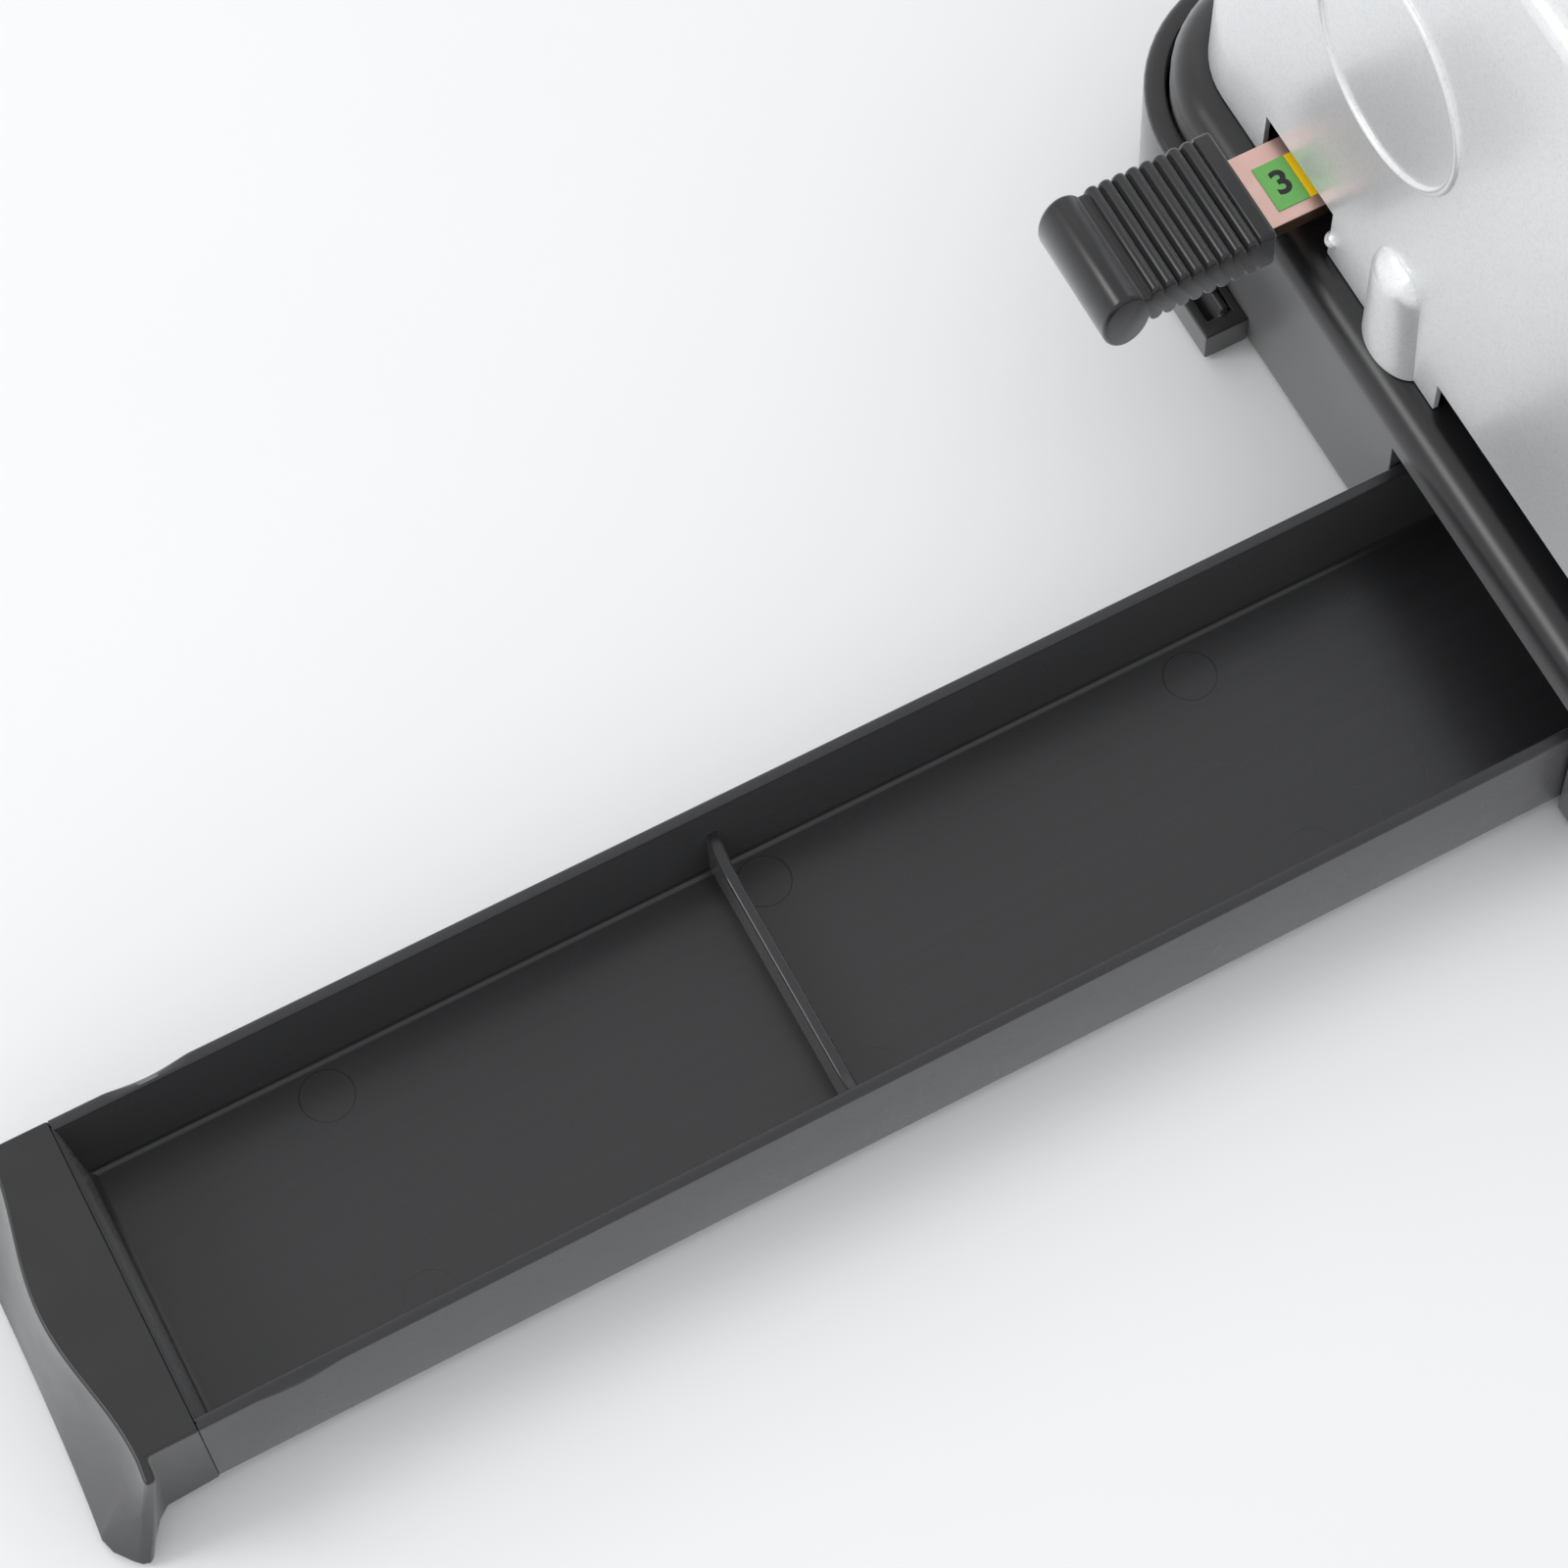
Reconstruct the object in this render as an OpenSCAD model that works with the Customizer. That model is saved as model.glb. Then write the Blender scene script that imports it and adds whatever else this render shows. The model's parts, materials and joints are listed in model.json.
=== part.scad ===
// Heavy-duty desk hole punch for two, three or four holes.
// X runs along the machine, +Y is its back, +Z is up; the origin lies under the middle of the base.
// The chip tray is pulled out of the left end, the lever is up and the selector stands at "3".

/* [Base] */
// Length of the base housing
base_len = 340; // [330:5:410]
// Depth of the base housing
base_dep = 147; // [145:1:178]
// Height of the deck that the paper lies on
deck_z = 35; // [35:0.5:42]
// Wall of the moulded base housing
base_wall = 2.5; // [2:0.1:3.2]
// Radius of the back corners in plan
back_r = 21; // [18:1:24]
// Radius of the front corners in plan
front_r = 14; // [10:1:16]
// Rounding of the rim round the deck
rim_r = 5; // [3:0.5:6]
// Height of the rubber feet
foot_h = 1; // [1:0.5:2]

/* [Cover] */
// Top of the silver cover
cover_z = 139; // [134:1:170]
// Ledge of deck left showing round the cover
cover_inset = 5.5; // [4:0.5:7]
// Wall of the cover
cover_wall = 2.5; // [2:0.1:3]
// Radius of the moulded ring on the left end
ring_r = 17.8; // [14:0.1:20]

/* [Paper throat] */
// Height of the slot that the paper goes into
throat_h = 6.6; // [5:0.1:8]
// Depth of the slot from the front of the cover to the paper stop
throat_dep = 45.5; // [44:0.5:48]
// Distance from the paper's edge to the holes' centres
hole_margin = 12; // [10:0.5:13]

/* [Punching] */
// Diameter of the holes punched
hole_d = 6; // [5:0.1:6.5]
// Stroke of the pins
stroke = 12; // [10:0.5:13]
// Spacing of the inner holes, two-hole and four-hole work
inner_pitch = 80; // [70:1:84]
// Spacing of the outer holes, four-hole work
outer_pitch = 240; // [236:1:244]
// Spacing of the outer holes, three-hole work
three_pitch = 216; // [214:1:218]
// Travel of the lever in degrees
lever_turn = 60; // [50:1:65]
// Distance from the lever shaft to the handle
lever_r = 230; // [180:5:260]

/* [Chip tray] */
// Outer width of the tray
tray_w = 49.7; // [44:0.1:52]
// Outer height of the tray
tray_h = 20.4; // [16:0.1:21]
// Wall of the tray
tray_wall = 1.8; // [1.4:0.1:2.4]
// Length of the tray behind its end cap
tray_len = 316; // [300:1:320]
// Distance that the tray stands pulled out
tray_out = 212; // [150:1:240]
// Length of the outer bay of the tray
bay_len = 100; // [90:1:102]
// Length of the middle bay of the tray
mid_bay = 140; // [110:5:160]

/* [Selector] */
// Width of the selector bar
bar_w = 13.3; // [10:0.1:15]
// Thickness of the selector bar
bar_t = 3; // [2:0.1:3.5]
// Step between two settings
select_step = 6; // [6:0.1:6.4]

/* [Hidden] */
$fn = 48;
eps = 0.01;
slip = 0.3;      // clearance between parts that pass each other
fit = 0.05;      // radial clearance of a running fit
hull_fn = 32;

end_x = base_len / 2;
front_y = -base_dep / 2;
back_y = base_dep / 2;

// Bottom plate, feet and tray bay
plate_t = 1.2;
plate_z = foot_h;
plate_top = plate_z + plate_t;
plate_gap = 0.4;
foot_r = 8;
foot_inset = 22;
tray_z = plate_top + slip;
tray_top = tray_z + tray_h;
tray_y0 = front_y + 16.2;
tray_y1 = tray_y0 + tray_w;
bay_gap = 0.5;
bay_roof = 4.6;                           // room over the tray in its doorway
door_z = tray_top + bay_roof - 0.2;
bottom_screw_r = 2;
bottom_screw_in = 9;

// Cover in plan
cov_x = end_x - cover_inset;
cov_y0 = front_y + 19;
cov_y1 = back_y - 5;
cov_z = deck_z + slip;
cov_back_r = 16;
cov_front_r = 12;
cov_draft = 1.8;                          // how far the ends lean in, foot to top
cov_edge = 3;
cov_shoulder_z = deck_z + 45;             // where the front starts to lean back
cov_lean = 25;
throat_z = deck_z + throat_h + 0.2;

// Pin line
stop_y = cov_y0 + throat_dep;
pin_y = stop_y - hole_margin;
pin_r = hole_d / 2;
die_r = pin_r + 0.08;
three_x = [-three_pitch / 2, 0, three_pitch / 2];
inner_x = [-inner_pitch / 2, inner_pitch / 2];
outer_x = [-outer_pitch / 2, outer_pitch / 2];
all_x = concat(three_x, inner_x, outer_x);

// Die bar and guide block
die_t = 7.5;
block_half = outer_pitch / 2 + 30;
block_z0 = throat_z + 0.2;
block_t = 12;
block_front = 12;                         // guide block in front of the pin line
block_z1 = block_z0 + block_t;
leg_dep = 12;
block_y0 = pin_y - block_front;
leg_y1 = stop_y + leg_dep;
die_y0 = block_y0;
die_y1 = leg_y1 + 1.5;
ledge = 3;
screw_y = stop_y + leg_dep / 2;
guide_screw_x = [-140, -50, 50, 140];
m5_r = 2.5;
m5_free = 2.75;
m5_head_r = 4.4;
m5_head_t = 5;

// Pins and their springs
pin_z0 = block_z0 + 0.5;
spring_room = stroke + 5;
head_z = block_z1 + spring_room;
head_t = 3;
head_r = pin_r + 1.1;
pin_wire = 0.8;
spring_gap = 0.2;
head_top = head_z + head_t;
nose_r = 2;
nose_t = 1;
pin_top = head_top + nose_t;

// Selector comb over the pins
tooth_t = stroke + 1;
tooth_d = 6;
tooth_w = 2 * (select_step - head_r - slip); // an idle tooth clears its neighbour
comb_w = 10;
comb_z0 = pin_top + slip;
comb_z1 = comb_z0 + tooth_t;
comb_spine = 6;
comb_top = comb_z1 + comb_spine;
comb_x0 = -outer_pitch / 2 + 2;
comb_x1 = outer_pitch / 2 + 2 * select_step + 3;
drive_x = -outer_pitch / 2 + 8;
drive_r = 2.5;
drive_z = comb_z1 + comb_spine / 2;

// Press beam
beam_half_w = 12;
beam_z0 = comb_z1 - 1.5;
beam_web_z = comb_top + slip;
beam_top = beam_web_z + 6.4;
beam_x = comb_x1 + 2;
column_x = 80;
column_r = 4;
column_y = screw_y;
column_top = beam_top + 9;
ear_half = 8;
ear_t = 10;
return_wire = 1.3;
beam_end_t = 4;

// Shafts, cams and rockers
shaft_y = front_y + 88.5;
shaft_z = deck_z + 56;
shaft_r = 6;
trunnion_r = 4;
trunnion_z = beam_z0 + 4.4;
pad_slope = 15;
rock_y = shaft_y + 33.5;
arm_reach = rock_y - pin_y;
arm_short = rock_y - shaft_y;
rock_z = trunnion_z + (trunnion_r + slip) / cos(pad_slope) - arm_reach * tan(pad_slope);
rock_turn = pad_slope - atan(tan(pad_slope) - stroke / arm_reach);
follower_r = 6;
follower_z = shaft_z - 15;
cam_gap = follower_r + 1;                 // cam surface to follower centre, along the radius
seat_cut = 4;                             // the follower stands proud above this
cam_w = 5;
rocker_t = 6;
rocker_x = beam_x + beam_end_t + 5.5;
trunnion_end = rocker_x + rocker_t / 2 + 2;
cheek_x = trunnion_end + 1;
cheek_t = 4;
cheek_y0 = leg_y1 + 2.5;
cheek_y1 = rock_y + 10;
chassis_t = 3;
chassis_top = deck_z + chassis_t;
chassis_x = cheek_x + cheek_t + 1;
cheek_top = shaft_z + 20;
cheek_foot = 12;
cheek_foot_t = 3;
foot_front = [cheek_y0, cheek_y0 + 17];
foot_back = [cheek_y1 - 14, cheek_y1];
bush_r = 9;
bush_flange = 1;
lug_x = 100;
lug_w = 16;
lug_t = 3;
lug_h = 22;
lug_screw_z = deck_z + 15;
cover_screw_r = 2;

// Selector bar, grip and fork
sel_y = front_y + 105.5;
bar_top = deck_z + 8;
bar_z = bar_top - bar_t;
grip_len = 28.4;
grip_x1 = -end_x - 2.8;
grip_x0 = grip_x1 - grip_len;
grip_w = 20;
grip_y0 = sel_y - grip_w / 2 + 1;         // the grip stands a little behind the bar's middle
grip_t = 8.5;
grip_ribs = 8;
rib_pitch = 2.25;
rib_r = 1.1;
bulb_w = 3.8;                             // half width of the bulb at the grip's outer end
bulb_h = 6.2;
bulb_drop = 1.2;
grip_band = 2.8;                          // smooth band at the bar end of the grip
notch_w = 19;
notch_shift = 0.4;                        // the notch's middle lies in front of the bar's
notch_top = bar_top + 2.5;
label_w = 8;
label_gap = 0.1;
label_t = 0.2;
label_show = 0.1;                         // sliver of the second label outside the cover
label_trim = 0.7;                         // the first label is this much shorter than the others
label_y = sel_y - 0.6;
bar_end = drive_x + 9;
fork_t = 3;
fork_gap = drive_r + 0.1;
fork_y0 = pin_y + beam_half_w + 0.7;
fork_y1 = fork_y0 + 8;

// Lever and handle
lever_rest = 115;                         // angle of the arm from +Y at rest
hub_r = 18;
hub_x0 = end_x - cover_inset + 1;
hub_t = 12;
arm_x0 = hub_x0 + 3;
arm_t = 8;
arm_w = 22;
arm_tip_w = 18;
rod_r = 6;
grip_r = 14;
handle_len = 150;
handle_cap_t = 8;
shaft_bore = 8;

// ---------------------------------------------------------------- shared shapes

// Rectangle with its corners rounded, given by two opposite corners.
module round_rect(x0, y0, x1, y1, r) {
    translate([x0 + r, y0]) square([x1 - x0 - 2 * r, y1 - y0]);
    translate([x0, y0 + r]) square([x1 - x0, y1 - y0 - 2 * r]);
    for (x = [x0 + r, x1 - r])
        for (y = [y0 + r, y1 - r])
            translate([x, y]) circle(r = r);
}

// Round post whose top edge is rolled over with radius e.
module rolled_post(r, z0, z1, e) {
    arc = [for (a = [0 : 15 : 90]) [r - e + e * cos(a), z1 - e + e * sin(a)]];
    rotate_extrude($fn = hull_fn)
        polygon(concat([[0, z0], [r, z0]], arc, [[0, z1]]));
}

// Cylinder along X from x0 to x1 with its centre at y, z.
module rod_x(x0, x1, y, z, r) {
    translate([x0, y, z])
        rotate([0, 90, 0])
            cylinder(r = r, h = x1 - x0);
}

// Cylinder along Y from y0 to y1.
module rod_y(x, y0, y1, z, r) {
    translate([x, y1, z])
        rotate([90, 0, 0])
            cylinder(r = r, h = y1 - y0);
}

// Plate of thickness t at x, extruded from an outline drawn in Y and Z.
module plate_yz(x, t) {
    translate([x, 0, 0])
        rotate([90, 0, 90])
            linear_extrude(t)
                children();
}

// Box given by two opposite corners.
module box(a, b) {
    translate(a)
        cube(b - a);
}

// Pan-head screw along +Z with its head's underside at z.
module pan_screw(x, y, z, r, head_r, head_h, len) {
    translate([x, y, z - len]) cylinder(r = r, h = len + eps);
    translate([x, y, z]) cylinder(r = head_r, h = head_h);
}

// Outside of the base housing, less a margin m all round.
module base_body(m, z0, z1, e) {
    hull() {
        for (s = [-1, 1]) {
            translate([s * (end_x - back_r), back_y - back_r, 0]) rolled_post(back_r - m, z0, z1, e);
            translate([s * (end_x - front_r), front_y + front_r, 0]) rolled_post(front_r - m, z0, z1, e);
        }
    }
}

// Outside of the cover, less a margin m all round.
module cover_body(m, z0) {
    top = cover_z - m;
    x_top = cov_x - cov_draft;
    hull() {
        for (s = [-1, 1]) {
            translate([s * (cov_x - cov_back_r), cov_y1 - cov_back_r, z0])
                cylinder(r = cov_back_r - m, h = 1, $fn = hull_fn);
            translate([s * (cov_x - cov_front_r), cov_y0 + cov_front_r, z0])
                cylinder(r = cov_front_r - m, h = cov_shoulder_z - z0, $fn = hull_fn);
            translate([s * (x_top - cov_back_r), cov_y1 - cov_draft - cov_back_r, 0])
                rolled_post(cov_back_r - m, top - 8, top, cov_edge);
            translate([s * (x_top - cov_front_r), cov_y0 + cov_lean + cov_front_r, 0])
                rolled_post(cov_front_r - m, top - 8, top, cov_edge);
        }
    }
}

// ---------------------------------------------------------------- base

// Inner edges of the doorway in the left end wall.
door_y0 = tray_y0 - bay_gap;
door_y1 = tray_y1 + bay_gap;

module base_shell() {
    color("#26272a")
    difference() {
        base_body(0, plate_z, deck_z, rim_r);
        difference() {
            base_body(base_wall, plate_z - 1, deck_z - base_wall, rim_r - 1);
            die_ledge();
            bottom_bosses();
        }
        box([-end_x - 1, door_y0, plate_z - 1], [-end_x + base_wall + 8, door_y1, door_z]);
        die_pocket();
        for (p = bottom_screw_at)
            translate([p[0], p[1], plate_z - 1])
                cylinder(r = bottom_screw_r, h = 14);
        for (s = [-1, 1])
            for (y = cheek_screw_y)
                translate([s * cheek_screw_x, y, deck_z - 10])
                    cylinder(r = m5_r, h = 20);
    }
}

// Shelf under the die bar, part of the housing.
module die_ledge() {
    difference() {
        box([-block_half - ledge, die_y0 - ledge, deck_z - die_t - ledge],
            [block_half + ledge, die_y1 + ledge, deck_z]);
        box([-block_half + ledge, die_y0 + ledge, deck_z - die_t - ledge - 1],
            [block_half - ledge, tray_y1 - 2, deck_z]);
    }
}

// Pocket that the die bar drops into.
module die_pocket() {
    box([-block_half - fit, die_y0 - fit, deck_z - die_t],
        [block_half + fit, die_y1 + fit, deck_z + 1]);
}

bottom_screw_at = [for (x = [-end_x + foot_inset + 12, 0, end_x - foot_inset - 12])
                   for (y = [front_y + bottom_screw_in, back_y - bottom_screw_in]) [x, y]];

module bottom_bosses() {
    for (p = bottom_screw_at)
        translate([p[0], p[1], plate_top])
            cylinder(r = 4.5, h = deck_z - base_wall - plate_top + eps);
}

module bottom_plate() {
    inset = base_wall + plate_gap;
    color("#8d9094")
    difference() {
        translate([0, 0, plate_z])
            linear_extrude(plate_t)
                round_rect(-end_x + inset, front_y + inset, end_x - inset, back_y - inset, back_r - inset);
        for (p = bottom_screw_at)
            translate([p[0], p[1], 0])
                cylinder(r = bottom_screw_r + 0.2, h = 10);
    }
}

// Feet under the four corners and one under the middle of the die.
module rubber_feet() {
    color("#1b1b1c")
    for (p = concat([[0, 0]], [for (sx = [-1, 1]) for (sy = [-1, 1])
                               [sx * (end_x - foot_inset), sy * (back_y - foot_inset)]]))
        translate([p[0], p[1], 0])
            cylinder(r = foot_r, h = plate_z);
}

module bottom_screws() {
    color("#3a3b3d")
    for (p = bottom_screw_at) {
        translate([p[0], p[1], plate_z]) cylinder(r = bottom_screw_r - fit, h = 12);
        translate([p[0], p[1], 0.2]) cylinder(r = 3.6, h = plate_z - 0.2);
    }
}

// Strip that wraps the back and its two corners, standing proud of the ends.
skirt_t = 3.3;
skirt_gap = 0.6;
skirt_top = deck_z - 7;
skirt_front = back_y - 22;

module rear_skirt() {
    out = skirt_t + skirt_gap;
    color("#232427")
    intersection() {
        difference() {
            translate([0, 0, plate_z])
                linear_extrude(skirt_top - plate_z)
                    round_rect(-end_x - out, front_y, end_x + out, back_y + out, back_r + out);
            translate([0, 0, plate_z + 4])
                linear_extrude(skirt_top)
                    round_rect(-end_x - skirt_gap, front_y - 9, end_x + skirt_gap, back_y + skirt_gap,
                               back_r + skirt_gap);
            linear_extrude(skirt_top)
                round_rect(-end_x, front_y - 9, end_x, back_y, back_r);
        }
        box([-end_x - 9, skirt_front, 0], [end_x + 9, back_y + 9, deck_z]);
    }
}

// Small open-topped clip at table level on the left end wall.
clip_out = 7.4;
clip_y0 = front_y + 105.6;
clip_len = 15;
clip_h = 6.5;
clip_wall = 1.6;

module foot_clip() {
    x0 = -end_x - clip_out;
    color("#2b2c2f")
    difference() {
        union() {
            difference() {
                box([x0, clip_y0, foot_h - 0.4], [-end_x, clip_y0 + clip_len, clip_h]);
                box([x0 + clip_wall, clip_y0 + 2.6, foot_h + 1.2],
                    [-end_x - clip_wall, clip_y0 + clip_len - clip_wall, clip_h + 1]);
            }
            plate_y(clip_y0 + 2.6, clip_len - clip_wall - 2.6)
                polygon([[-end_x - 4.2, foot_h + 1.2], [-end_x - 2.2, foot_h + 1.2],
                         [-end_x - 2.2, clip_h + 2.5], [-end_x - 3.1, clip_h + 2.5]]);
        }
        box([x0 - 1, clip_y0 - 1, clip_h + 1.2], [-end_x + 1, clip_y0 + 6, clip_h + 9]);
    }
}

// Extrusion along +Y of an outline drawn in X and Z.
module plate_y(y, t) {
    translate([0, y + t, 0])
        rotate([90, 0, 0])
            linear_extrude(t)
                children();
}

// Two rails that guide the tray, standing on the bottom plate.
rail_w = 2;
rail_h = 9;

module tray_rails() {
    color("#2d2e31")
    for (y = [tray_y0 - slip - rail_w, tray_y1 + slip])
        box([-end_x + base_wall + 9, y, plate_top], [end_x - base_wall - 6, y + rail_w, plate_top + rail_h]);
}

// ---------------------------------------------------------------- die, guide and chassis

module die_bar() {
    color("#a9acb0")
    difference() {
        box([-block_half, die_y0, deck_z - die_t], [block_half, die_y1, deck_z]);
        for (x = all_x) {
            translate([x, pin_y, 0]) cylinder(r = die_r, h = deck_z + 1);
            translate([x, pin_y, deck_z - die_t - 1]) cylinder(r = die_r + 0.6, h = 4.5);
        }
        for (x = guide_screw_x)
            translate([x, screw_y, deck_z - die_t - 1])
                cylinder(r = m5_r, h = die_t + 2);
    }
}

// L-shaped bar: the pins run in it, and its leg stops the paper.
module guide_block() {
    color("#9ea2a6")
    difference() {
        union() {
            box([-block_half, block_y0, block_z0], [block_half, leg_y1, block_z1]);
            box([-block_half, stop_y, deck_z], [block_half, leg_y1, block_z0 + eps]);
        }
        for (x = all_x)
            translate([x, pin_y, block_z0 - 1])
                cylinder(r = pin_r + fit, h = block_t + 2);
        for (x = guide_screw_x)
            translate([x, screw_y, deck_z - 1])
                cylinder(r = m5_free, h = block_z1 - deck_z + 2);
        for (s = [-1, 1])
            translate([s * column_x, column_y, block_z0])
                cylinder(r = column_r, h = block_t + 1);
    }
}

module guide_screws() {
    color("#4a4c4f")
    for (x = guide_screw_x)
        difference() {
            pan_screw(x, screw_y, block_z1, m5_r, m5_head_r, m5_head_t, block_z1 - deck_z + die_t - 1);
            translate([x, screw_y, block_z1 + m5_head_t - 2.5]) cylinder(r = 2.3, h = 3, $fn = 6);
        }
}

cheek_screw_x = cheek_x - cheek_foot / 2;
cheek_screw_y = [cheek_y0 + 8.5, cheek_y1 - 7];

module chassis_plate() {
    color("#7f8286")
    difference() {
        union() {
            box([-chassis_x, cheek_y0 - 0.5, deck_z], [chassis_x, cheek_y1, chassis_top]);
            for (s = [-1, 1])
                box([s * lug_x - lug_w / 2, cheek_y1 - lug_t, deck_z],
                    [s * lug_x + lug_w / 2, cheek_y1, deck_z + lug_h]);
        }
        for (s = [-1, 1]) {
            rod_y(s * lug_x, cheek_y1 - lug_t - 1, cheek_y1 + 1, lug_screw_z, cover_screw_r);
            for (y = cheek_screw_y)
                translate([s * cheek_screw_x, y, deck_z - 1])
                    cylinder(r = m5_free, h = chassis_t + 2);
        }
    }
}

// End plate of the chassis; side is -1 on the left and 1 on the right.
module cheek(side) {
    x0 = side > 0 ? cheek_x : -cheek_x - cheek_t;
    xf = side > 0 ? cheek_x - cheek_foot : -cheek_x;
    difference() {
        union() {
            plate_yz(x0, cheek_t)
                polygon([[cheek_y0, chassis_top], [cheek_y1, chassis_top], [cheek_y1, rock_z + 12],
                         [shaft_y + 14, cheek_top], [shaft_y - 12, cheek_top], [cheek_y0, shaft_z + 4]]);
            for (f = [foot_front, foot_back])
                box([xf - eps, f[0], chassis_top],
                    [xf + cheek_foot + eps, f[1], chassis_top + cheek_foot_t]);
        }
        rod_x(x0 - 1, x0 + cheek_t + 1, shaft_y, shaft_z, bush_r);
        rod_x(x0 - 1, x0 + cheek_t + 1, rock_y, rock_z, shaft_r);
        for (y = cheek_screw_y)
            translate([side * cheek_screw_x, y, chassis_top - 1])
                cylinder(r = m5_free, h = cheek_foot_t + 2);
        if (side < 0)
            box([x0 - 1, sel_y - bar_w / 2 - slip, bar_z - slip],
                [x0 + cheek_t + 1, sel_y + bar_w / 2 + slip, bar_top + slip + label_t]);
    }
}

module left_cheek() {
    color("#86898d") cheek(-1);
}

module right_cheek() {
    color("#86898d") cheek(1);
}

module cheek_screws() {
    z = chassis_top + cheek_foot_t;
    color("#4a4c4f")
    for (s = [-1, 1])
        for (y = cheek_screw_y)
            pan_screw(s * cheek_screw_x, y, z, m5_r, m5_head_r, 3, z - deck_z + base_wall - 0.5);
}

// Flanged bushes that the lever shaft turns in.
module shaft_bushes() {
    color("#b08d57")
    for (s = [-1, 1])
        difference() {
            union() {
                x0 = s > 0 ? cheek_x : -cheek_x - cheek_t;
                rod_x(x0, x0 + cheek_t, shaft_y, shaft_z, bush_r);
                xf = s > 0 ? cheek_x - bush_flange : -cheek_x;
                rod_x(xf, xf + bush_flange, shaft_y, shaft_z, bush_r + 2);
            }
            rod_x(-end_x, end_x, shaft_y, shaft_z, shaft_r + fit);
        }
}

module rocker_shaft() {
    color("#b9bcc0") rod_x(-cheek_x - cheek_t, cheek_x + cheek_t, rock_y, rock_z, shaft_r);
}

module guide_columns() {
    color("#c4c7ca")
    for (s = [-1, 1])
        translate([s * column_x, column_y, block_z0])
            cylinder(r = column_r, h = column_top - block_z0);
}

// Nylon saddle on the chassis that the selector bar slides through.
saddle_x = -cheek_x + 8;
saddle_len = 9;
saddle_wall = 2.5;

module bar_saddle() {
    y0 = sel_y - bar_w / 2 - slip;
    y1 = sel_y + bar_w / 2 + slip;
    window_top = bar_top + label_t + slip;
    color("#e8e6df")
    difference() {
        box([saddle_x, y0 - saddle_wall, chassis_top],
            [saddle_x + saddle_len, y1 + saddle_wall, window_top + saddle_wall]);
        box([saddle_x - 1, y0, bar_z - slip], [saddle_x + saddle_len + 1, y1, window_top]);
    }
}

// ---------------------------------------------------------------- cover

ring_bead = 0.8;
column_end_y = front_y + 78.2;
column_end_r = 6;
column_end_out = 4.2;
column_end_top = deck_z + 22;
column_end_arch = 6;
column_end_slope = 45;
lean_angle = atan(cov_draft / (cover_z - cov_z));

module top_cover() {
    color("#c3c6c8")
    difference() {
        union() {
            difference() {
                cover_body(0, cov_z);
                cover_body(cover_wall, cov_z - 1);
            }
            end_column();
            end_ring();
            for (s = [-1, 1])
                rod_y(s * lug_x, cheek_y1 + 0.2, cov_y1 - 1.6, lug_screw_z, 5);
        }
        box([-end_x, cov_y0 - 9, 0], [end_x, stop_y + 1.2, throat_z]);
        box([-end_x, sel_y - notch_w / 2 - notch_shift, 0],
            [-cov_x + 12, sel_y + notch_w / 2 - notch_shift, notch_top]);
        rod_x(cov_x - 12, end_x, shaft_y, shaft_z, shaft_bore);
        for (s = [-1, 1])
            rod_y(s * lug_x, cheek_y1 - 1, back_y, lug_screw_z, cover_screw_r + 0.2);
    }
}

// Moulded ring round the lever shaft's line on the left end.
module end_ring() {
    x = -cov_x + (shaft_z - cov_z) * tan(lean_angle);
    translate([x + 0.2, shaft_y, shaft_z])
        rotate([0, 90 + lean_angle, 0])
            rotate_extrude()
                translate([ring_r, 0])
                    circle(r = ring_bead, $fn = 16);
}

// Half-round column on the left end: an arch where it meets the wall, cut off on a slant.
module end_column() {
    intersection() {
        translate([-cov_x, column_end_y, cov_z])
            linear_extrude(column_end_top - cov_z)
                polygon([for (a = [90 : 15 : 270]) [column_end_out * cos(a) + 1, column_end_r * sin(a)]]);
        translate([-cov_x, column_end_y - column_end_r - 1, column_end_top])
            rotate([0, -column_end_slope, 0])
                translate([-column_end_top, 0, -column_end_top])
                    cube([2 * column_end_top, 2 * column_end_r + 2, column_end_top]);
        plate_yz(-cov_x - column_end_out, 2 * column_end_out)
            polygon(concat([[column_end_y + column_end_r, cov_z]],
                           [for (a = [0 : 15 : 180]) [column_end_y + column_end_r * cos(a),
                                                      column_end_top - column_end_arch * (1 - sin(a))]],
                           [[column_end_y - column_end_r, cov_z]]));
    }
}

module cover_screws() {
    color("#55575a")
    for (s = [-1, 1]) {
        rod_y(s * lug_x, cheek_y1 - lug_t, cov_y1 + 0.2, lug_screw_z, cover_screw_r - fit);
        rod_y(s * lug_x, cov_y1 + 0.05, cov_y1 + 2.2, lug_screw_z, 3.8);
    }
}

// ---------------------------------------------------------------- chip tray

tray_x0 = -end_x - tray_out;              // where the cap meets the tray
tray_x1 = tray_x0 + tray_len;
divider_x = [tray_x0 + bay_len, tray_x0 + bay_len + mid_bay];
divider_t = 1.9;
divider_low = 9;
divider_arc = 8;
scoop_x = tray_x0 + 14.5;                // scoop in the outer edge of each side wall
scoop_len = 14;
scoop_dep = 1.6;

module chip_tray() {
    color("#1f2022")
    union() {
        difference() {
            box([tray_x0, tray_y0, tray_z], [tray_x1, tray_y1, tray_top]);
            box([tray_x0 + tray_wall, tray_y0 + tray_wall, tray_z + tray_wall],
                [tray_x1 - tray_wall, tray_y1 - tray_wall, tray_top + 1]);
            edge_scoop(tray_y0, -1);
            edge_scoop(tray_y1, 1);
        }
        for (x = divider_x)
            plate_yz(x - divider_t / 2, divider_t)
                divider_outline();
    }
}

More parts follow.
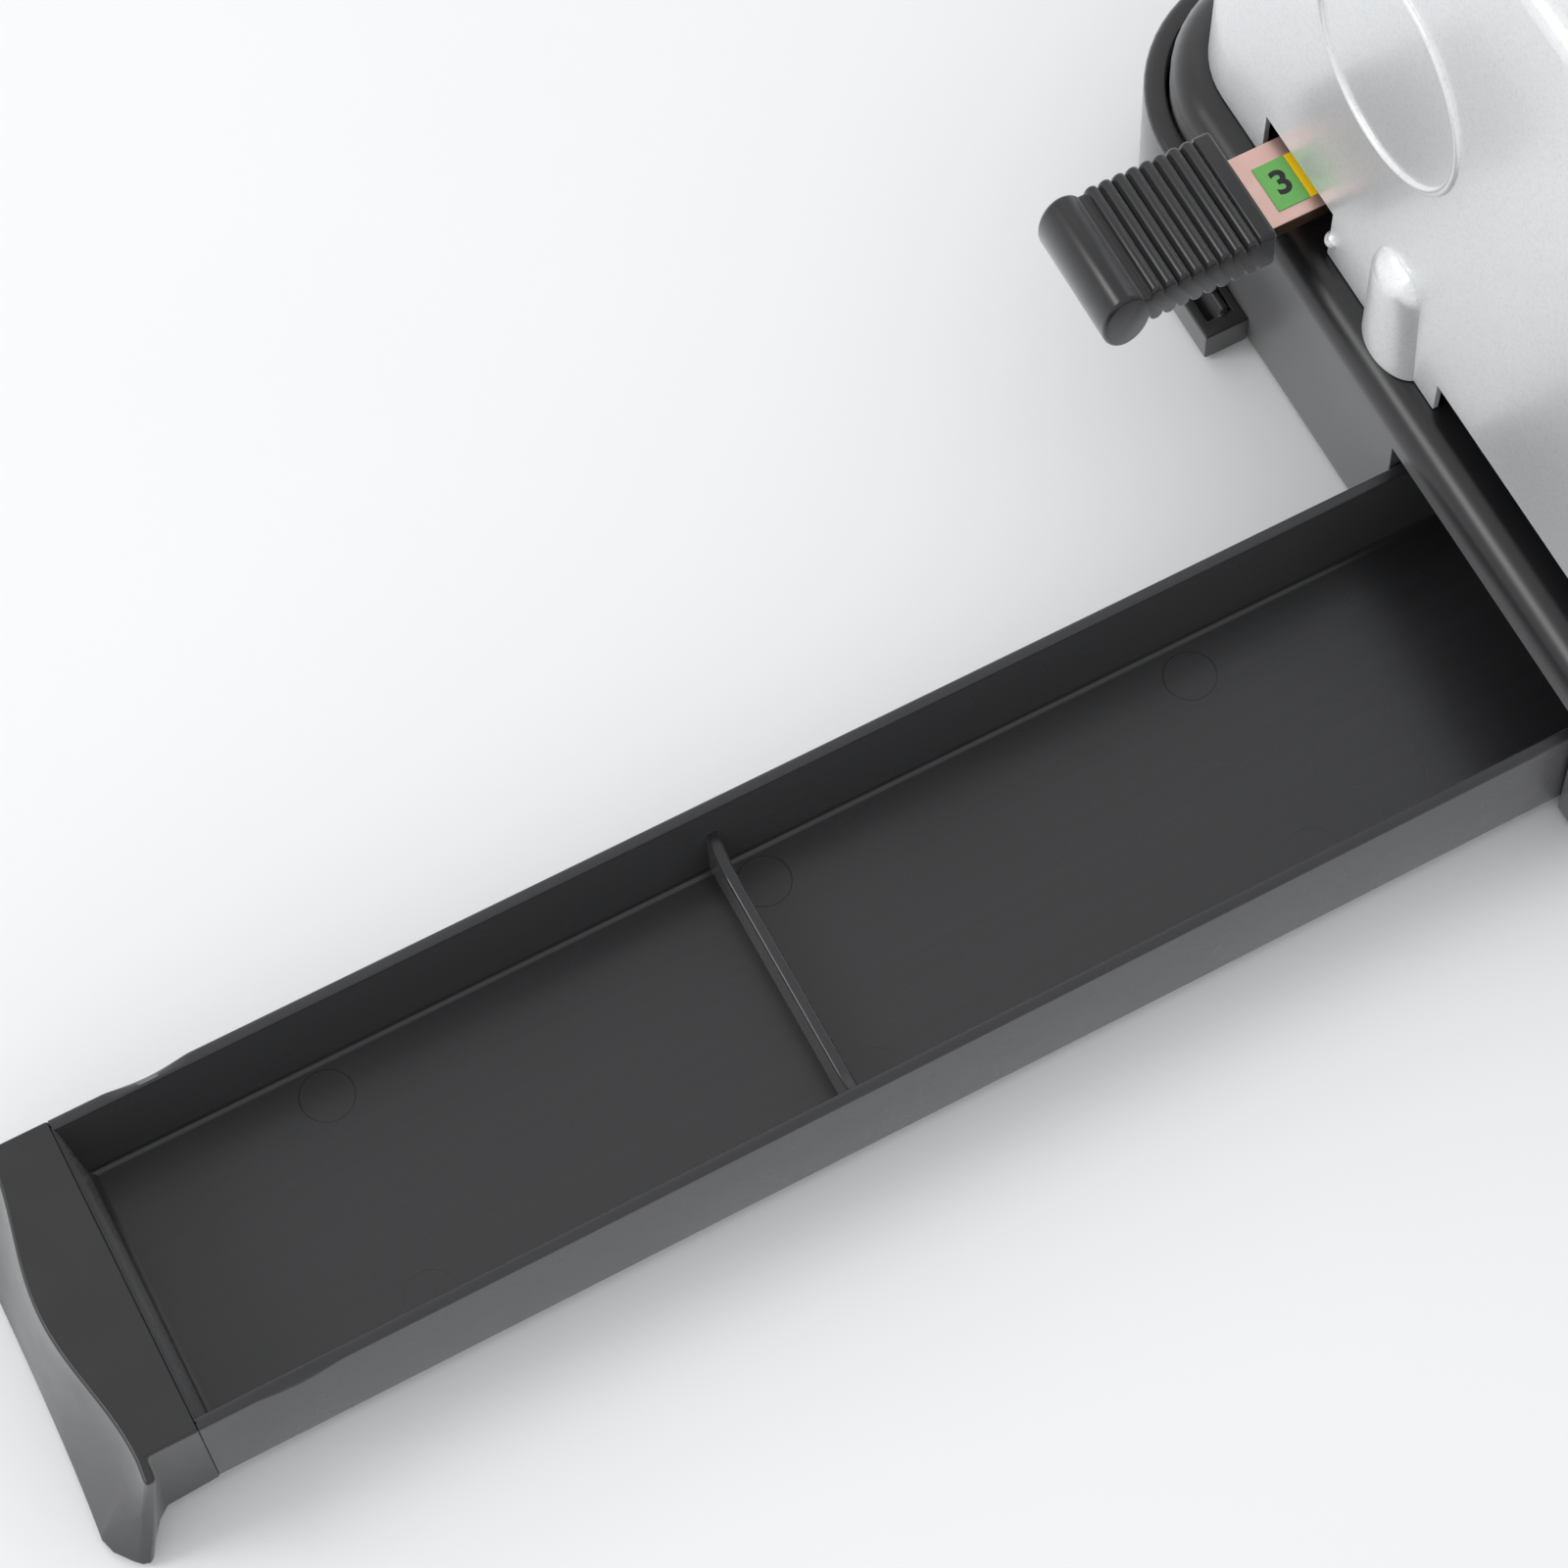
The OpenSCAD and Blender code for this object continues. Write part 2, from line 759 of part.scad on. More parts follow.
// Wedge cut from the outer edge of a side wall, deepest on the wall's outer face at y.
module edge_scoop(y, side) {
    half = scoop_len / 2;
    hull() {
        plate_y(y - (side > 0 ? 0 : 1), 1)
            polygon([[scoop_x - half, tray_top], [scoop_x - half / 3, tray_top - scoop_dep],
                     [scoop_x + half / 3, tray_top - scoop_dep], [scoop_x + half, tray_top],
                     [scoop_x, tray_top + 1]]);
        plate_y(y - side * tray_wall * 0.8, eps)
            polygon([[scoop_x - half, tray_top], [scoop_x + half, tray_top], [scoop_x, tray_top + 1]]);
    }
}

// Cross wall of the tray: low in the middle, sweeping up to both side walls.
module divider_outline() {
    y0 = tray_y0 + tray_wall / 2;
    y1 = tray_y1 - tray_wall / 2;
    low = tray_z + divider_low;
    near = [for (a = [0 : 15 : 90]) [y0 + divider_arc * (1 - cos(a)), low + divider_arc * (1 - sin(a))]];
    far = [for (i = [len(near) - 1 : -1 : 0]) [y0 + y1 - near[i][0], near[i][1]]];
    polygon(concat([[y0, tray_z + eps]], near, far, [[y1, tray_z + eps]]));
}

// End cap: its outer edge waves in plan, its outer face slopes out to the table and a fin at its
// front corner flares into a pointed lip. Points stand from the cap's inner front corner.
cap_top_x = 9;
cap_wave = 3.3;
cap_foot_x = 16.6;
cap_flare = 1.4;
cap_steps = 24;
cap_front = tray_y0 - 0.2;
cap_back = tray_y1 + 0.1;
cap_top = tray_top + 0.2;
fin_top = [[-9.3, -3.4], [-8.6, -3.5], [-7.7, -3.3], [-7.6, -2.2], [-7.6, -1.1], [-7.6, 0]];
fin_foot = [[-15.3, -4.9], [-13.9, -6.1], [-12.9, -6], [-11.4, -3.4], [-9.8, -1.3], [-8, 0]];

function cap_y(t) = (cap_back - cap_front) * t;
function cap_top_edge(t) = [-cap_top_x - cap_wave * (0.5 - 0.5 * cos(360 * t)), cap_y(t)];
function cap_foot_edge(t) = [-cap_foot_x - cap_flare * pow(1 - t, 3), cap_y(t)];

module tray_cap() {
    inner = [[0, 0], [0, cap_y(1)]];
    top = concat([for (i = [cap_steps : -1 : 0]) cap_top_edge(i / cap_steps)], fin_top, inner);
    foot = concat([for (i = [cap_steps : -1 : 0]) cap_foot_edge(i / cap_steps)], fin_foot, inner);
    m = len(top);
    pts = concat([for (p = foot) [p[0], p[1], foot_h]], [for (p = top) [p[0], p[1], cap_top]]);
    sides = [for (i = [0 : m - 1]) each [[i, m + i, (i + 1) % m], [(i + 1) % m, m + i, m + (i + 1) % m]]];
    color("#2c2d30")
    translate([tray_x0, cap_front, 0])
        polyhedron(points = pts,
                   faces = concat(sides, [[for (i = [0 : m - 1]) i]], [[for (i = [m - 1 : -1 : 0]) m + i]]),
                   convexity = 4);
}

// ---------------------------------------------------------------- selector

module selector_bar() {
    color("#c79a86") box([grip_x0 + 5, sel_y - bar_w / 2, bar_z], [bar_end, sel_y + bar_w / 2, bar_top]);
}

// Ribbed finger grip moulded over the bar's outer end.
module selector_grip() {
    z0 = bar_z - (grip_t - bar_t) / 2;
    z1 = z0 + grip_t;
    zb = (z0 + z1) / 2 - bulb_drop;
    color("#202123")
    difference() {
        plate_y(grip_y0, grip_w)
            union() {
                translate([grip_x0 + bulb_w, z0 + rib_r]) square([grip_len - bulb_w, grip_t - 2 * rib_r]);
                translate([grip_x1 - grip_band, z0]) square([grip_band, grip_t]);
                translate([grip_x0 + bulb_w, zb])
                    polygon([for (a = [0 : 15 : 345]) [bulb_w * cos(a), bulb_h * sin(a)]]);
                for (i = [0 : grip_ribs - 1])
                    for (z = [z0 + rib_r, z1 - rib_r])
                        translate([grip_x1 - grip_band - (i + 0.5) * rib_pitch, z])
                            circle(r = rib_r, $fn = 16);
            }
        box([grip_x0 + 5, sel_y - bar_w / 2, bar_z], [grip_x1 + 9, sel_y + bar_w / 2, bar_top]);
    }
}

// Coloured labels for the three settings, in steps along the bar.
module selector_labels() {
    x0 = -cov_x - label_show;
    tints = ["#4da24d", "#f2c320", "#c8503c"];
    for (i = [0 : 2])
        color(tints[i])
        box([x0 + (i - 1) * select_step + (i > 0 ? 0 : label_trim), label_y - label_w / 2, bar_top],
            [x0 + i * select_step - label_gap, label_y + label_w / 2, bar_top + label_t]);
}

// Bracket on the bar whose two prongs carry the comb's drive pin along.
module selector_fork() {
    y_back = sel_y + bar_w / 2 - 1;
    rise = block_z1 + 2;
    prong_z = comb_z1 - stroke - 2;
    top = comb_top + 1;
    color("#a7aaae")
    union() {
        for (s = [-1, 1])
            plate_yz(drive_x + s * (fork_gap + fork_t / 2) - fork_t / 2, fork_t)
                polygon([[y_back, bar_top], [y_back, bar_top + 12], [shaft_y, rise + 14],
                         [fork_y1 + 2, prong_z + 4], [fork_y1, top], [fork_y0, top], [fork_y0, rise],
                         [leg_y1 + 2, rise], [sel_y - bar_w / 2 + 1, bar_top]]);
        box([drive_x - fork_gap - eps, fork_y0 + 12, rise], [drive_x + fork_gap + eps, shaft_y, rise + 3]);
    }
}

// ---------------------------------------------------------------- comb and press beam

// Teeth of the comb: where one stands over a pin the press reaches that pin.
tooth_spans = [[three_x[0], three_x[0]], [three_x[1], three_x[1]], [three_x[2], three_x[2]],
               [inner_x[0] + select_step, inner_x[0] + 2 * select_step],
               [inner_x[1] + select_step, inner_x[1] + 2 * select_step],
               [outer_x[1] + 2 * select_step, outer_x[1] + 2 * select_step]];

module selector_comb() {
    y0 = pin_y - comb_w / 2;
    y1 = pin_y + comb_w / 2;
    color("#9a9da1")
    difference() {
        union() {
            box([comb_x0, y0, comb_z1], [comb_x1, y1, comb_top]);
            for (t = tooth_spans)
                box([t[0] - tooth_w / 2, pin_y - tooth_d / 2, comb_z0],
                    [t[1] + tooth_w / 2, pin_y + tooth_d / 2, comb_z1 + eps]);
        }
        rod_y(drive_x, y0 - 1, y1 + 1, drive_z, drive_r);
    }
}

module comb_pin() {
    color("#c4c7ca") rod_y(drive_x, pin_y - comb_w / 2, fork_y1 - 0.5, drive_z, drive_r);
}

// Channel over the comb; its lips hold the comb's spine and its ears run on the columns.
module press_beam() {
    y0 = pin_y - beam_half_w;
    y1 = pin_y + beam_half_w;
    spine_gap = comb_w / 2 + slip;
    lip_gap = tooth_d / 2 + slip;
    color("#8b8e92")
    difference() {
        union() {
            box([-beam_x, y0, beam_z0], [beam_x, y1, beam_top]);
            for (s = [-1, 1])
                box([s * column_x - ear_half, y1 - eps, beam_top - ear_t],
                    [s * column_x + ear_half, column_y + ear_half, beam_top]);
        }
        box([-beam_x - 1, pin_y - spine_gap, comb_z1 - slip], [beam_x + 1, pin_y + spine_gap, beam_web_z]);
        box([-beam_x - 1, pin_y - lip_gap, beam_z0 - 1], [beam_x + 1, pin_y + lip_gap, comb_z1]);
        box([drive_x - 2 * select_step - drive_r - slip, pin_y, beam_z0 - 1],
            [drive_x + drive_r + slip, y1 + 1, drive_z + drive_r + slip]);
        for (s = [-1, 1])
            translate([s * column_x, column_y, beam_z0 - 1])
                cylinder(r = column_r + fit, h = beam_top);
    }
}

// End plates that close the channel, each with the trunnion that its rocker pushes.
module beam_trunnions() {
    color("#c4c7ca")
    for (s = [-1, 1]) {
        x0 = s > 0 ? beam_x : -beam_x - beam_end_t;
        box([x0, pin_y - beam_half_w, beam_z0], [x0 + beam_end_t, pin_y + beam_half_w, beam_top]);
        x1 = s > 0 ? beam_x + beam_end_t - eps : -trunnion_end;
        rod_x(x1, x1 + trunnion_end - beam_x - beam_end_t + eps, pin_y, trunnion_z, trunnion_r);
    }
}

// ---------------------------------------------------------------- rockers and cams

// Arm that turns on the rocker shaft and bears on the beam's trunnion.
module rocker(side) {
    xc = side * rocker_x;
    x0 = xc - rocker_t;
    x1 = xc + rocker_t;
    pad_y = pin_y + 9;
    tip_y = pin_y - 7;
    pad_z = rock_z + (rock_y - pad_y) * tan(pad_slope);
    tip_z = rock_z + (rock_y - tip_y) * tan(pad_slope);
    difference() {
        plate_yz(xc - rocker_t / 2, rocker_t)
            union() {
                translate([rock_y, rock_z]) circle(r = 11);
                translate([shaft_y, follower_z]) circle(r = follower_r + 3.5);
                polygon([[rock_y, rock_z - 11], [rock_y, rock_z + 6], [shaft_y + 5, follower_z],
                         [shaft_y - 12, follower_z + 4], [pad_y + 6, tip_z + 10], [tip_y, tip_z + 10],
                         [tip_y, tip_z], [pad_y, pad_z], [pad_y + 3, pad_z - 16],
                         [shaft_y - 4, follower_z - follower_r - 3.5]]);
            }
        rod_x(x0, x1, rock_y, rock_z, shaft_r + fit);
        rod_x(x0, x1, shaft_y, shaft_z, shaft_r + 4.5);
        box([x0, shaft_y - 16, follower_z + seat_cut], [x1, shaft_y + 16, shaft_z + 16]);
        rod_x(x0, x1, shaft_y, follower_z, follower_r);
    }
}

module left_rocker() {
    color("#909397") rocker(-1);
}

module right_rocker() {
    color("#909397") rocker(1);
}

// Hardened followers, seated in the rockers, that the cams press on.
module follower_pins() {
    color("#c9ccd0")
    for (s = [-1, 1])
        rod_x(s * rocker_x - rocker_t / 2, s * rocker_x + rocker_t / 2, shaft_y, follower_z, follower_r);
}

module lever_shaft() {
    color("#b9bcc0") rod_x(-cheek_x - cheek_t - 1, hub_x0 + hub_t, shaft_y, shaft_z, shaft_r);
}

// Distance between the shaft and the follower's centre when the lever has turned by p of its travel.
function follower_angle(p) = asin((follower_z - rock_z) / follower_len) - rock_turn * p;
follower_len = sqrt(pow(arm_short, 2) + pow(follower_z - rock_z, 2));
function follower_y(p) = rock_y - follower_len * cos(follower_angle(p));
function follower_at_z(p) = rock_z + follower_len * sin(follower_angle(p));
function follower_dist(p) = sqrt(pow(follower_y(p) - shaft_y, 2) + pow(follower_at_z(p) - shaft_z, 2));
function cam_radius(p) = follower_dist(p) - cam_gap;

module press_cams() {
    lobe = [for (i = [0 : 16]) let (p = i / 16, a = 270 - lever_turn * p) cam_radius(p) * [cos(a), sin(a)]];
    base_r = cam_radius(0);
    nose_a = 265 - lever_turn;
    nose = [for (i = [0 : 6]) let (f = 1 - i / 6, a = nose_a - 14 * i)
            (base_r + (cam_radius(1) - base_r) * f * f) * [cos(a), sin(a)]];
    heel = [for (a = [105 : -15 : -75]) base_r * [cos(a), sin(a)]];
    color("#a7aaae")
    for (s = [-1, 1])
        difference() {
            plate_yz(s * rocker_x - cam_w / 2, cam_w)
                translate([shaft_y, shaft_z])
                    polygon(concat(lobe, nose, heel));
            rod_x(s * rocker_x - cam_w, s * rocker_x + cam_w, shaft_y, shaft_z, shaft_r);
        }
}

// ---------------------------------------------------------------- lever and handle

// Places children along the lever arm, which leans forward and up at rest.
module on_lever() {
    translate([0, shaft_y, shaft_z])
        rotate([lever_rest, 0, 0])
            children();
}

module lever_hub() {
    color("#2a2b2e")
    difference() {
        rod_x(hub_x0, hub_x0 + hub_t, shaft_y, shaft_z, hub_r);
        rod_x(hub_x0 - 1, hub_x0 + hub_t + 1, shaft_y, shaft_z, shaft_r);
        on_lever()
            box([arm_x0, -hub_r - 9, -arm_w / 2], [arm_x0 + arm_t, hub_r + 9, arm_w / 2]);
    }
}

module lever_arm() {
    color("#b4b7ba")
    difference() {
        on_lever()
            translate([arm_x0, 0, 0])
                rotate([90, 0, 90])
                    linear_extrude(arm_t)
                        polygon([[-hub_r * 0.6, -arm_w / 2], [-hub_r * 0.6, arm_w / 2], [hub_r, arm_w / 2],
                                 [lever_r + 8, arm_tip_w / 2], [lever_r + 12, 0],
                                 [lever_r + 8, -arm_tip_w / 2], [hub_r, -arm_w / 2]]);
        rod_x(arm_x0 - 1, arm_x0 + arm_t + 1, shaft_y, shaft_z, shaft_r);
        on_lever()
            rod_x(arm_x0 - 1, arm_x0 + arm_t + 1, lever_r, 0, rod_r);
    }
}

module hub_screw() {
    x = hub_x0 + hub_t;
    color("#5b5d60")
    difference() {
        rod_x(x, x + 4, shaft_y, shaft_z, 7);
        rod_x(x + 2, x + 5, shaft_y, shaft_z, 3);
    }
}

module handle_rod() {
    color("#b9bcc0") on_lever() rod_x(arm_x0 + arm_t - handle_len, arm_x0 + arm_t, lever_r, 0, rod_r);
}

module handle_grip() {
    x1 = arm_x0 - 1;
    x0 = arm_x0 + arm_t - handle_len;
    color("#1d1e20")
    on_lever()
        difference() {
            rod_x(x0, x1, lever_r, 0, grip_r);
            rod_x(x0 - 1, x1 + 1, lever_r, 0, rod_r);
        }
}

module handle_end_cap() {
    x0 = arm_x0 + arm_t - handle_len;
    color("#1d1e20") on_lever() rod_x(x0 - handle_cap_t, x0, lever_r, 0, grip_r - 0.5);
}

// ---------------------------------------------------------------- pins and springs

module pins(at) {
    for (x = at)
        translate([x, pin_y, 0]) {
            translate([0, 0, pin_z0]) cylinder(r = pin_r, h = head_z - pin_z0 + eps);
            translate([0, 0, head_z]) cylinder(r = head_r, h = head_t);
            translate([0, 0, head_top - eps]) cylinder(r = nose_r, h = nose_t + eps);
        }
}

module three_hole_pins() {
    color("#cfd2d5") pins(three_x);
}

module inner_pins() {
    color("#cfd2d5") pins(inner_x);
}

module outer_pins() {
    color("#cfd2d5") pins(outer_x);
}

// Coil drawn as a ribbed sleeve, so that it packs as one light solid.
module coil(r_in, wire, z0, z1, turns) {
    pitch = (z1 - z0) / turns;
    side = [for (i = [0 : turns * 4]) let (a = 90 * i)
            [r_in + wire * (0.75 - 0.25 * cos(a)), z0 + pitch * i / 4]];
    rotate_extrude()
        polygon(concat([[r_in, z0]], side, [[r_in, z1]]));
}

module pin_springs(at) {
    for (x = at)
        translate([x, pin_y, 0])
            coil(pin_r + spring_gap, pin_wire, block_z1, head_z, 7);
}

module three_hole_springs() {
    color("#a3a6aa") pin_springs(three_x);
}

module inner_springs() {
    color("#a3a6aa") pin_springs(inner_x);
}

module outer_springs() {
    color("#a3a6aa") pin_springs(outer_x);
}

module return_springs() {
    color("#a3a6aa")
    for (s = [-1, 1])
        translate([s * column_x, column_y, 0])
            coil(column_r + 2 * spring_gap, return_wire, block_z1, beam_top - ear_t, 9);
}

base_shell();
bottom_plate();
rubber_feet();
bottom_screws();
rear_skirt();
foot_clip();
die_bar();
guide_block();
guide_screws();
chassis_plate();
left_cheek();
right_cheek();
cheek_screws();
shaft_bushes();
rocker_shaft();
guide_columns();
bar_saddle();
tray_rails();
top_cover();
cover_screws();
chip_tray();
tray_cap();
selector_bar();
selector_grip();
selector_labels();
selector_fork();
selector_comb();
comb_pin();
lever_shaft();
press_cams();
lever_hub();
lever_arm();
hub_screw();
handle_rod();
handle_grip();
handle_end_cap();
left_rocker();
right_rocker();
follower_pins();
press_beam();
beam_trunnions();
three_hole_pins();
inner_pins();
outer_pins();
three_hole_springs();
inner_springs();
outer_springs();
return_springs();
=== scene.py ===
import bmesh
import bpy
import math
import numpy as np
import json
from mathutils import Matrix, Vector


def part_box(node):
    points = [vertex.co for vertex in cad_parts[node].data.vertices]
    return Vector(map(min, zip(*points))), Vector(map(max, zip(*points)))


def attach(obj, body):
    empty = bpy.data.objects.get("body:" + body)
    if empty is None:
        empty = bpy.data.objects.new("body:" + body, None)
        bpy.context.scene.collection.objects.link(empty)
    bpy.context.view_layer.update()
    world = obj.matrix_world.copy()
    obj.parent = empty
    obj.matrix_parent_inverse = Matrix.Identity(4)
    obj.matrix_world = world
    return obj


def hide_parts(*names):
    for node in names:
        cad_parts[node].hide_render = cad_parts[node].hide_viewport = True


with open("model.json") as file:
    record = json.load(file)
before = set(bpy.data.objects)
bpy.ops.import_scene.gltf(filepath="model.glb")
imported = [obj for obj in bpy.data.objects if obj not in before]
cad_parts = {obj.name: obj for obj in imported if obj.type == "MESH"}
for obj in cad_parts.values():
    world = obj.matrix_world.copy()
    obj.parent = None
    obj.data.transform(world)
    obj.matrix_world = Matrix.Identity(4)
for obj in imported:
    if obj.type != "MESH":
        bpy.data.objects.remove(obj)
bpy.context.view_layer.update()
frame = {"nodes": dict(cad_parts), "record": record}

# ------------------------------------------------------------------ camera
# A long lens high up at the front left, with the frame moved across the punch by the lens shift.
camera = bpy.data.objects.new("camera", bpy.data.cameras.new("camera"))
bpy.context.scene.collection.objects.link(camera)
camera.location = (-0.3835, -0.2733, 0.6222)
camera.rotation_euler = (math.radians(90 - 63.88), 0, math.radians(-28.54))
camera.data.lens = 108.6
camera.data.sensor_width = 36
camera.data.shift_x = -0.121
camera.data.shift_y = -0.038
camera.data.clip_start = 0.01
camera.data.clip_end = 50
bpy.context.scene.camera = camera
bpy.context.scene.view_settings.view_transform = "Standard"


# ------------------------------------------------------------------ table and light
# Plain pale table under a bright tent, with a window lamp at the back left and a soft fill from behind.
def linear(hex_colour):
    """Linear red, green, blue and alpha of an sRGB hex colour: c/12.92 below 0.04045, else a 2.4 power."""
    c = np.array([int(hex_colour[i:i + 2], 16) for i in (1, 3, 5)]) / 255
    c = np.where(c <= 0.04045, c / 12.92, ((c + 0.055) / 1.055) ** 2.4)
    return (*c, 1)


def per_mm(size):
    """Texture scale that gives a pattern a feature size in millimetres, on coordinates in metres."""
    return 1000 / size


def material(name):
    """A new material and its shader node."""
    made = bpy.data.materials.new(name)
    made.use_nodes = True
    return made, made.node_tree.nodes["Principled BSDF"]


def add(made, kind, settings, links=()):
    """Adds a shader node, sets its properties or sockets, and links (socket, output) pairs into it."""
    node = made.node_tree.nodes.new("ShaderNode" + kind)
    for key, value in settings.items():
        if isinstance(key, str) and hasattr(node, key):
            setattr(node, key, value)
        else:
            node.inputs[key].default_value = value
    for key, output in links:
        made.node_tree.links.new(output, node.inputs[key])
    return node


def join(made, output, socket):
    """Links an output to a socket."""
    made.node_tree.links.new(output, socket)


# Matt white lacquered board, rolled on: nearly white, with the faintest mottling and soft shadows.
board, shader = material("white_lacquered_board")
place = add(board, "TexCoord", {})
mottle = add(board, "TexNoise", {"Scale": per_mm(60), "Detail": 2}, [("Vector", place.outputs["Object"])])
tint = add(board, "Mix", {"data_type": "RGBA", 6: linear("#f1f1f2"), 7: linear("#eeeff0")},
           [(0, mottle.outputs["Fac"])])
join(board, tint.outputs[2], shader.inputs["Base Color"])
shader.inputs["Roughness"].default_value = 0.7
shader.inputs["Specular IOR Level"].default_value = 0.2

table_mesh = bpy.data.meshes.new("table")
half = 6
table_mesh.from_pydata([(-half, -half, 0), (half, -half, 0), (half, half, 0), (-half, half, 0)],
                       [], [(0, 1, 2, 3)])
table = bpy.data.objects.new("table", table_mesh)
bpy.context.scene.collection.objects.link(table)
table_mesh.materials.append(board)

world = bpy.data.worlds.new("tent")
bpy.context.scene.world = world
world.use_nodes = True
world.node_tree.nodes["Background"].inputs["Color"].default_value = linear("#f6f7f8")
world.node_tree.nodes["Background"].inputs["Strength"].default_value = 0.98

for lamp_name, spot, aim, size, power in (
        ("window", (-1.5, 0.45, 1.15), (-0.2, 0, 0), 0.6, 7.5),
        ("fill", (-0.1, 1.6, 1.4), (-0.1, 0, 0.05), 1.4, 2)):
    lamp = bpy.data.objects.new(lamp_name, bpy.data.lights.new(lamp_name, "AREA"))
    bpy.context.scene.collection.objects.link(lamp)
    lamp.data.size = size
    lamp.data.energy = power
    lamp.location = spot
    away = np.array(spot) - np.array(aim)
    tilt = math.atan2(math.hypot(away[0], away[1]), away[2])
    lamp.rotation_euler = (tilt, 0, math.atan2(away[0], -away[1]))


# ------------------------------------------------------------------ base housing
# One moulded tray of black ABS, open underneath: upright walls, a rolled rim and a flat deck
# with a pocket for the die. The chip tray's doorway is cut through its left end wall.
def span(node):
    """Lowest and highest corner of a CAD node, in millimetres."""
    return np.array(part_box(node)) * 1000


def plan(lo, hi, front_r, back_r, breaks=(), turns=12):
    """Outline of a rectangle with round corners, anticlockwise from its left front. Each point is a
    centre, an outward direction and a radius, so that an inset m moves it to centre + way * (radius - m).
    breaks are the y values on both ends where a point has to stand."""
    corners = [(lo[0], lo[1], front_r, 180), (hi[0], lo[1], front_r, 270),
               (hi[0], hi[1], back_r, 0), (lo[0], hi[1], back_r, 90)]
    rows = []
    for x, y, r, start in corners:
        a = np.radians(np.linspace(start, start + 90, turns + 1))
        cx = x + r if x < 0 else x - r
        cy = y + r if y == lo[1] else y - r
        rows.append(np.stack([np.full_like(a, cx), np.full_like(a, cy), np.cos(a), np.sin(a),
                              np.full_like(a, r)], 1))
    out = []
    for k, row in enumerate(rows):
        after = rows[(k + 1) % 4][0]
        last = row[-1]
        if k % 2:
            cut = sorted(set(np.clip(breaks, min(last[1], after[1]), max(last[1], after[1]))),
                         reverse=k == 3) if len(breaks) else []
            f = np.array([(y - last[1]) / (after[1] - last[1]) for y in cut])
        else:
            f = np.linspace(0, 1, 12)[1:-1]
        f = np.array([v for v in f if 0.002 < v < 0.998])
        out += [row, last + f[:, None] * (after - last)]
    return np.concatenate(out)


def ring_at(points, inset, z):
    """One closed row of points round a plan at an inset and a height."""
    inset = np.broadcast_to(inset, len(points))
    xy = points[:, :2] + points[:, 2:4] * (points[:, 4] - inset)[:, None]
    return np.column_stack([xy, np.broadcast_to(z, len(points))])


def quads(grid, wrap=True, caps=True, keep=None):
    """Points and faces of a grid [row, column, xyz]. wrap joins the last column to the first, caps close
    the first and last rows, and keep says which cells stay."""
    n, m = grid.shape[:2]
    i, j = np.meshgrid(np.arange(n - 1), np.arange(m if wrap else m - 1), indexing="ij")
    k = (j + 1) % m
    cells = np.stack([i * m + j, i * m + k, (i + 1) * m + k, (i + 1) * m + j], -1)
    cells = cells.reshape(-1, 4) if keep is None else cells[keep]
    faces = cells.tolist()
    if caps:
        faces += [list(range(m))[::-1], list(range((n - 1) * m, n * m))]
    return grid.reshape(-1, 3), faces


def piece(name, parts, finish, sharp=35):
    """A mesh object in metres from (points, faces) parts in millimetres: doubles merged, faces turned
    outwards, smooth but for edges sharper than the given angle."""
    points, faces, start = [], [], 0
    for p, f in parts:
        points.append(p)
        faces += [[v + start for v in face] for face in f]
        start += len(p)
    mesh = bpy.data.meshes.new(name)
    mesh.from_pydata((np.concatenate(points) / 1000).tolist(), [], faces)
    bm = bmesh.new()
    bm.from_mesh(mesh)
    bmesh.ops.remove_doubles(bm, verts=bm.verts, dist=2e-6)
    bmesh.ops.dissolve_degenerate(bm, edges=bm.edges, dist=1e-6)
    bmesh.ops.recalc_face_normals(bm, faces=bm.faces)
    bm.to_mesh(mesh)
    bm.free()
    mesh.shade_smooth()
    mesh.set_sharp_from_angle(angle=math.radians(sharp))
    mesh.materials.append(finish)
    made = bpy.data.objects.new(name, mesh)
    bpy.context.scene.collection.objects.link(made)
    return made


def wall(made, thickness):
    """Gives an open surface a wall on its inner side, in millimetres."""
    mod = made.modifiers.new("wall", "SOLIDIFY")
    mod.thickness = thickness / 1000
    mod.offset = -1
    mod.use_even_offset = True


def soften(made, edge, angle=35, segments=2):
    """Rounds the sharp edges to a radius in millimetres, then evens the shading of the flat faces."""
    mod = made.modifiers.new("soft_edges", "BEVEL")
    mod.width = edge / 1000
    mod.segments = segments
    mod.limit_method = "ANGLE"
    mod.angle_limit = math.radians(angle)
    mod.use_clamp_overlap = True
    made.modifiers.new("even_shading", "WEIGHTED_NORMAL").keep_sharp = False


def painted_grazing_sheen(made, face_on, pale):
    """Painted grazing sheen: base colour that turns pale where a moulded face is seen at a grazing angle, a
    painted stand-in for the brighter reflection there; the mix is the cube of the facing value, nought face
    on and one edge on."""
    facing = add(made, "LayerWeight", {"Blend": 0.5})
    cube = add(made, "Math", {"operation": "POWER", 1: 3.0}, [(0, facing.outputs["Facing"])])
    mixed = add(made, "Mix", {"data_type": "RGBA", 7: linear(pale)}, [(0, cube.outputs[0]), (6, face_on)])
    return mixed.outputs[2]
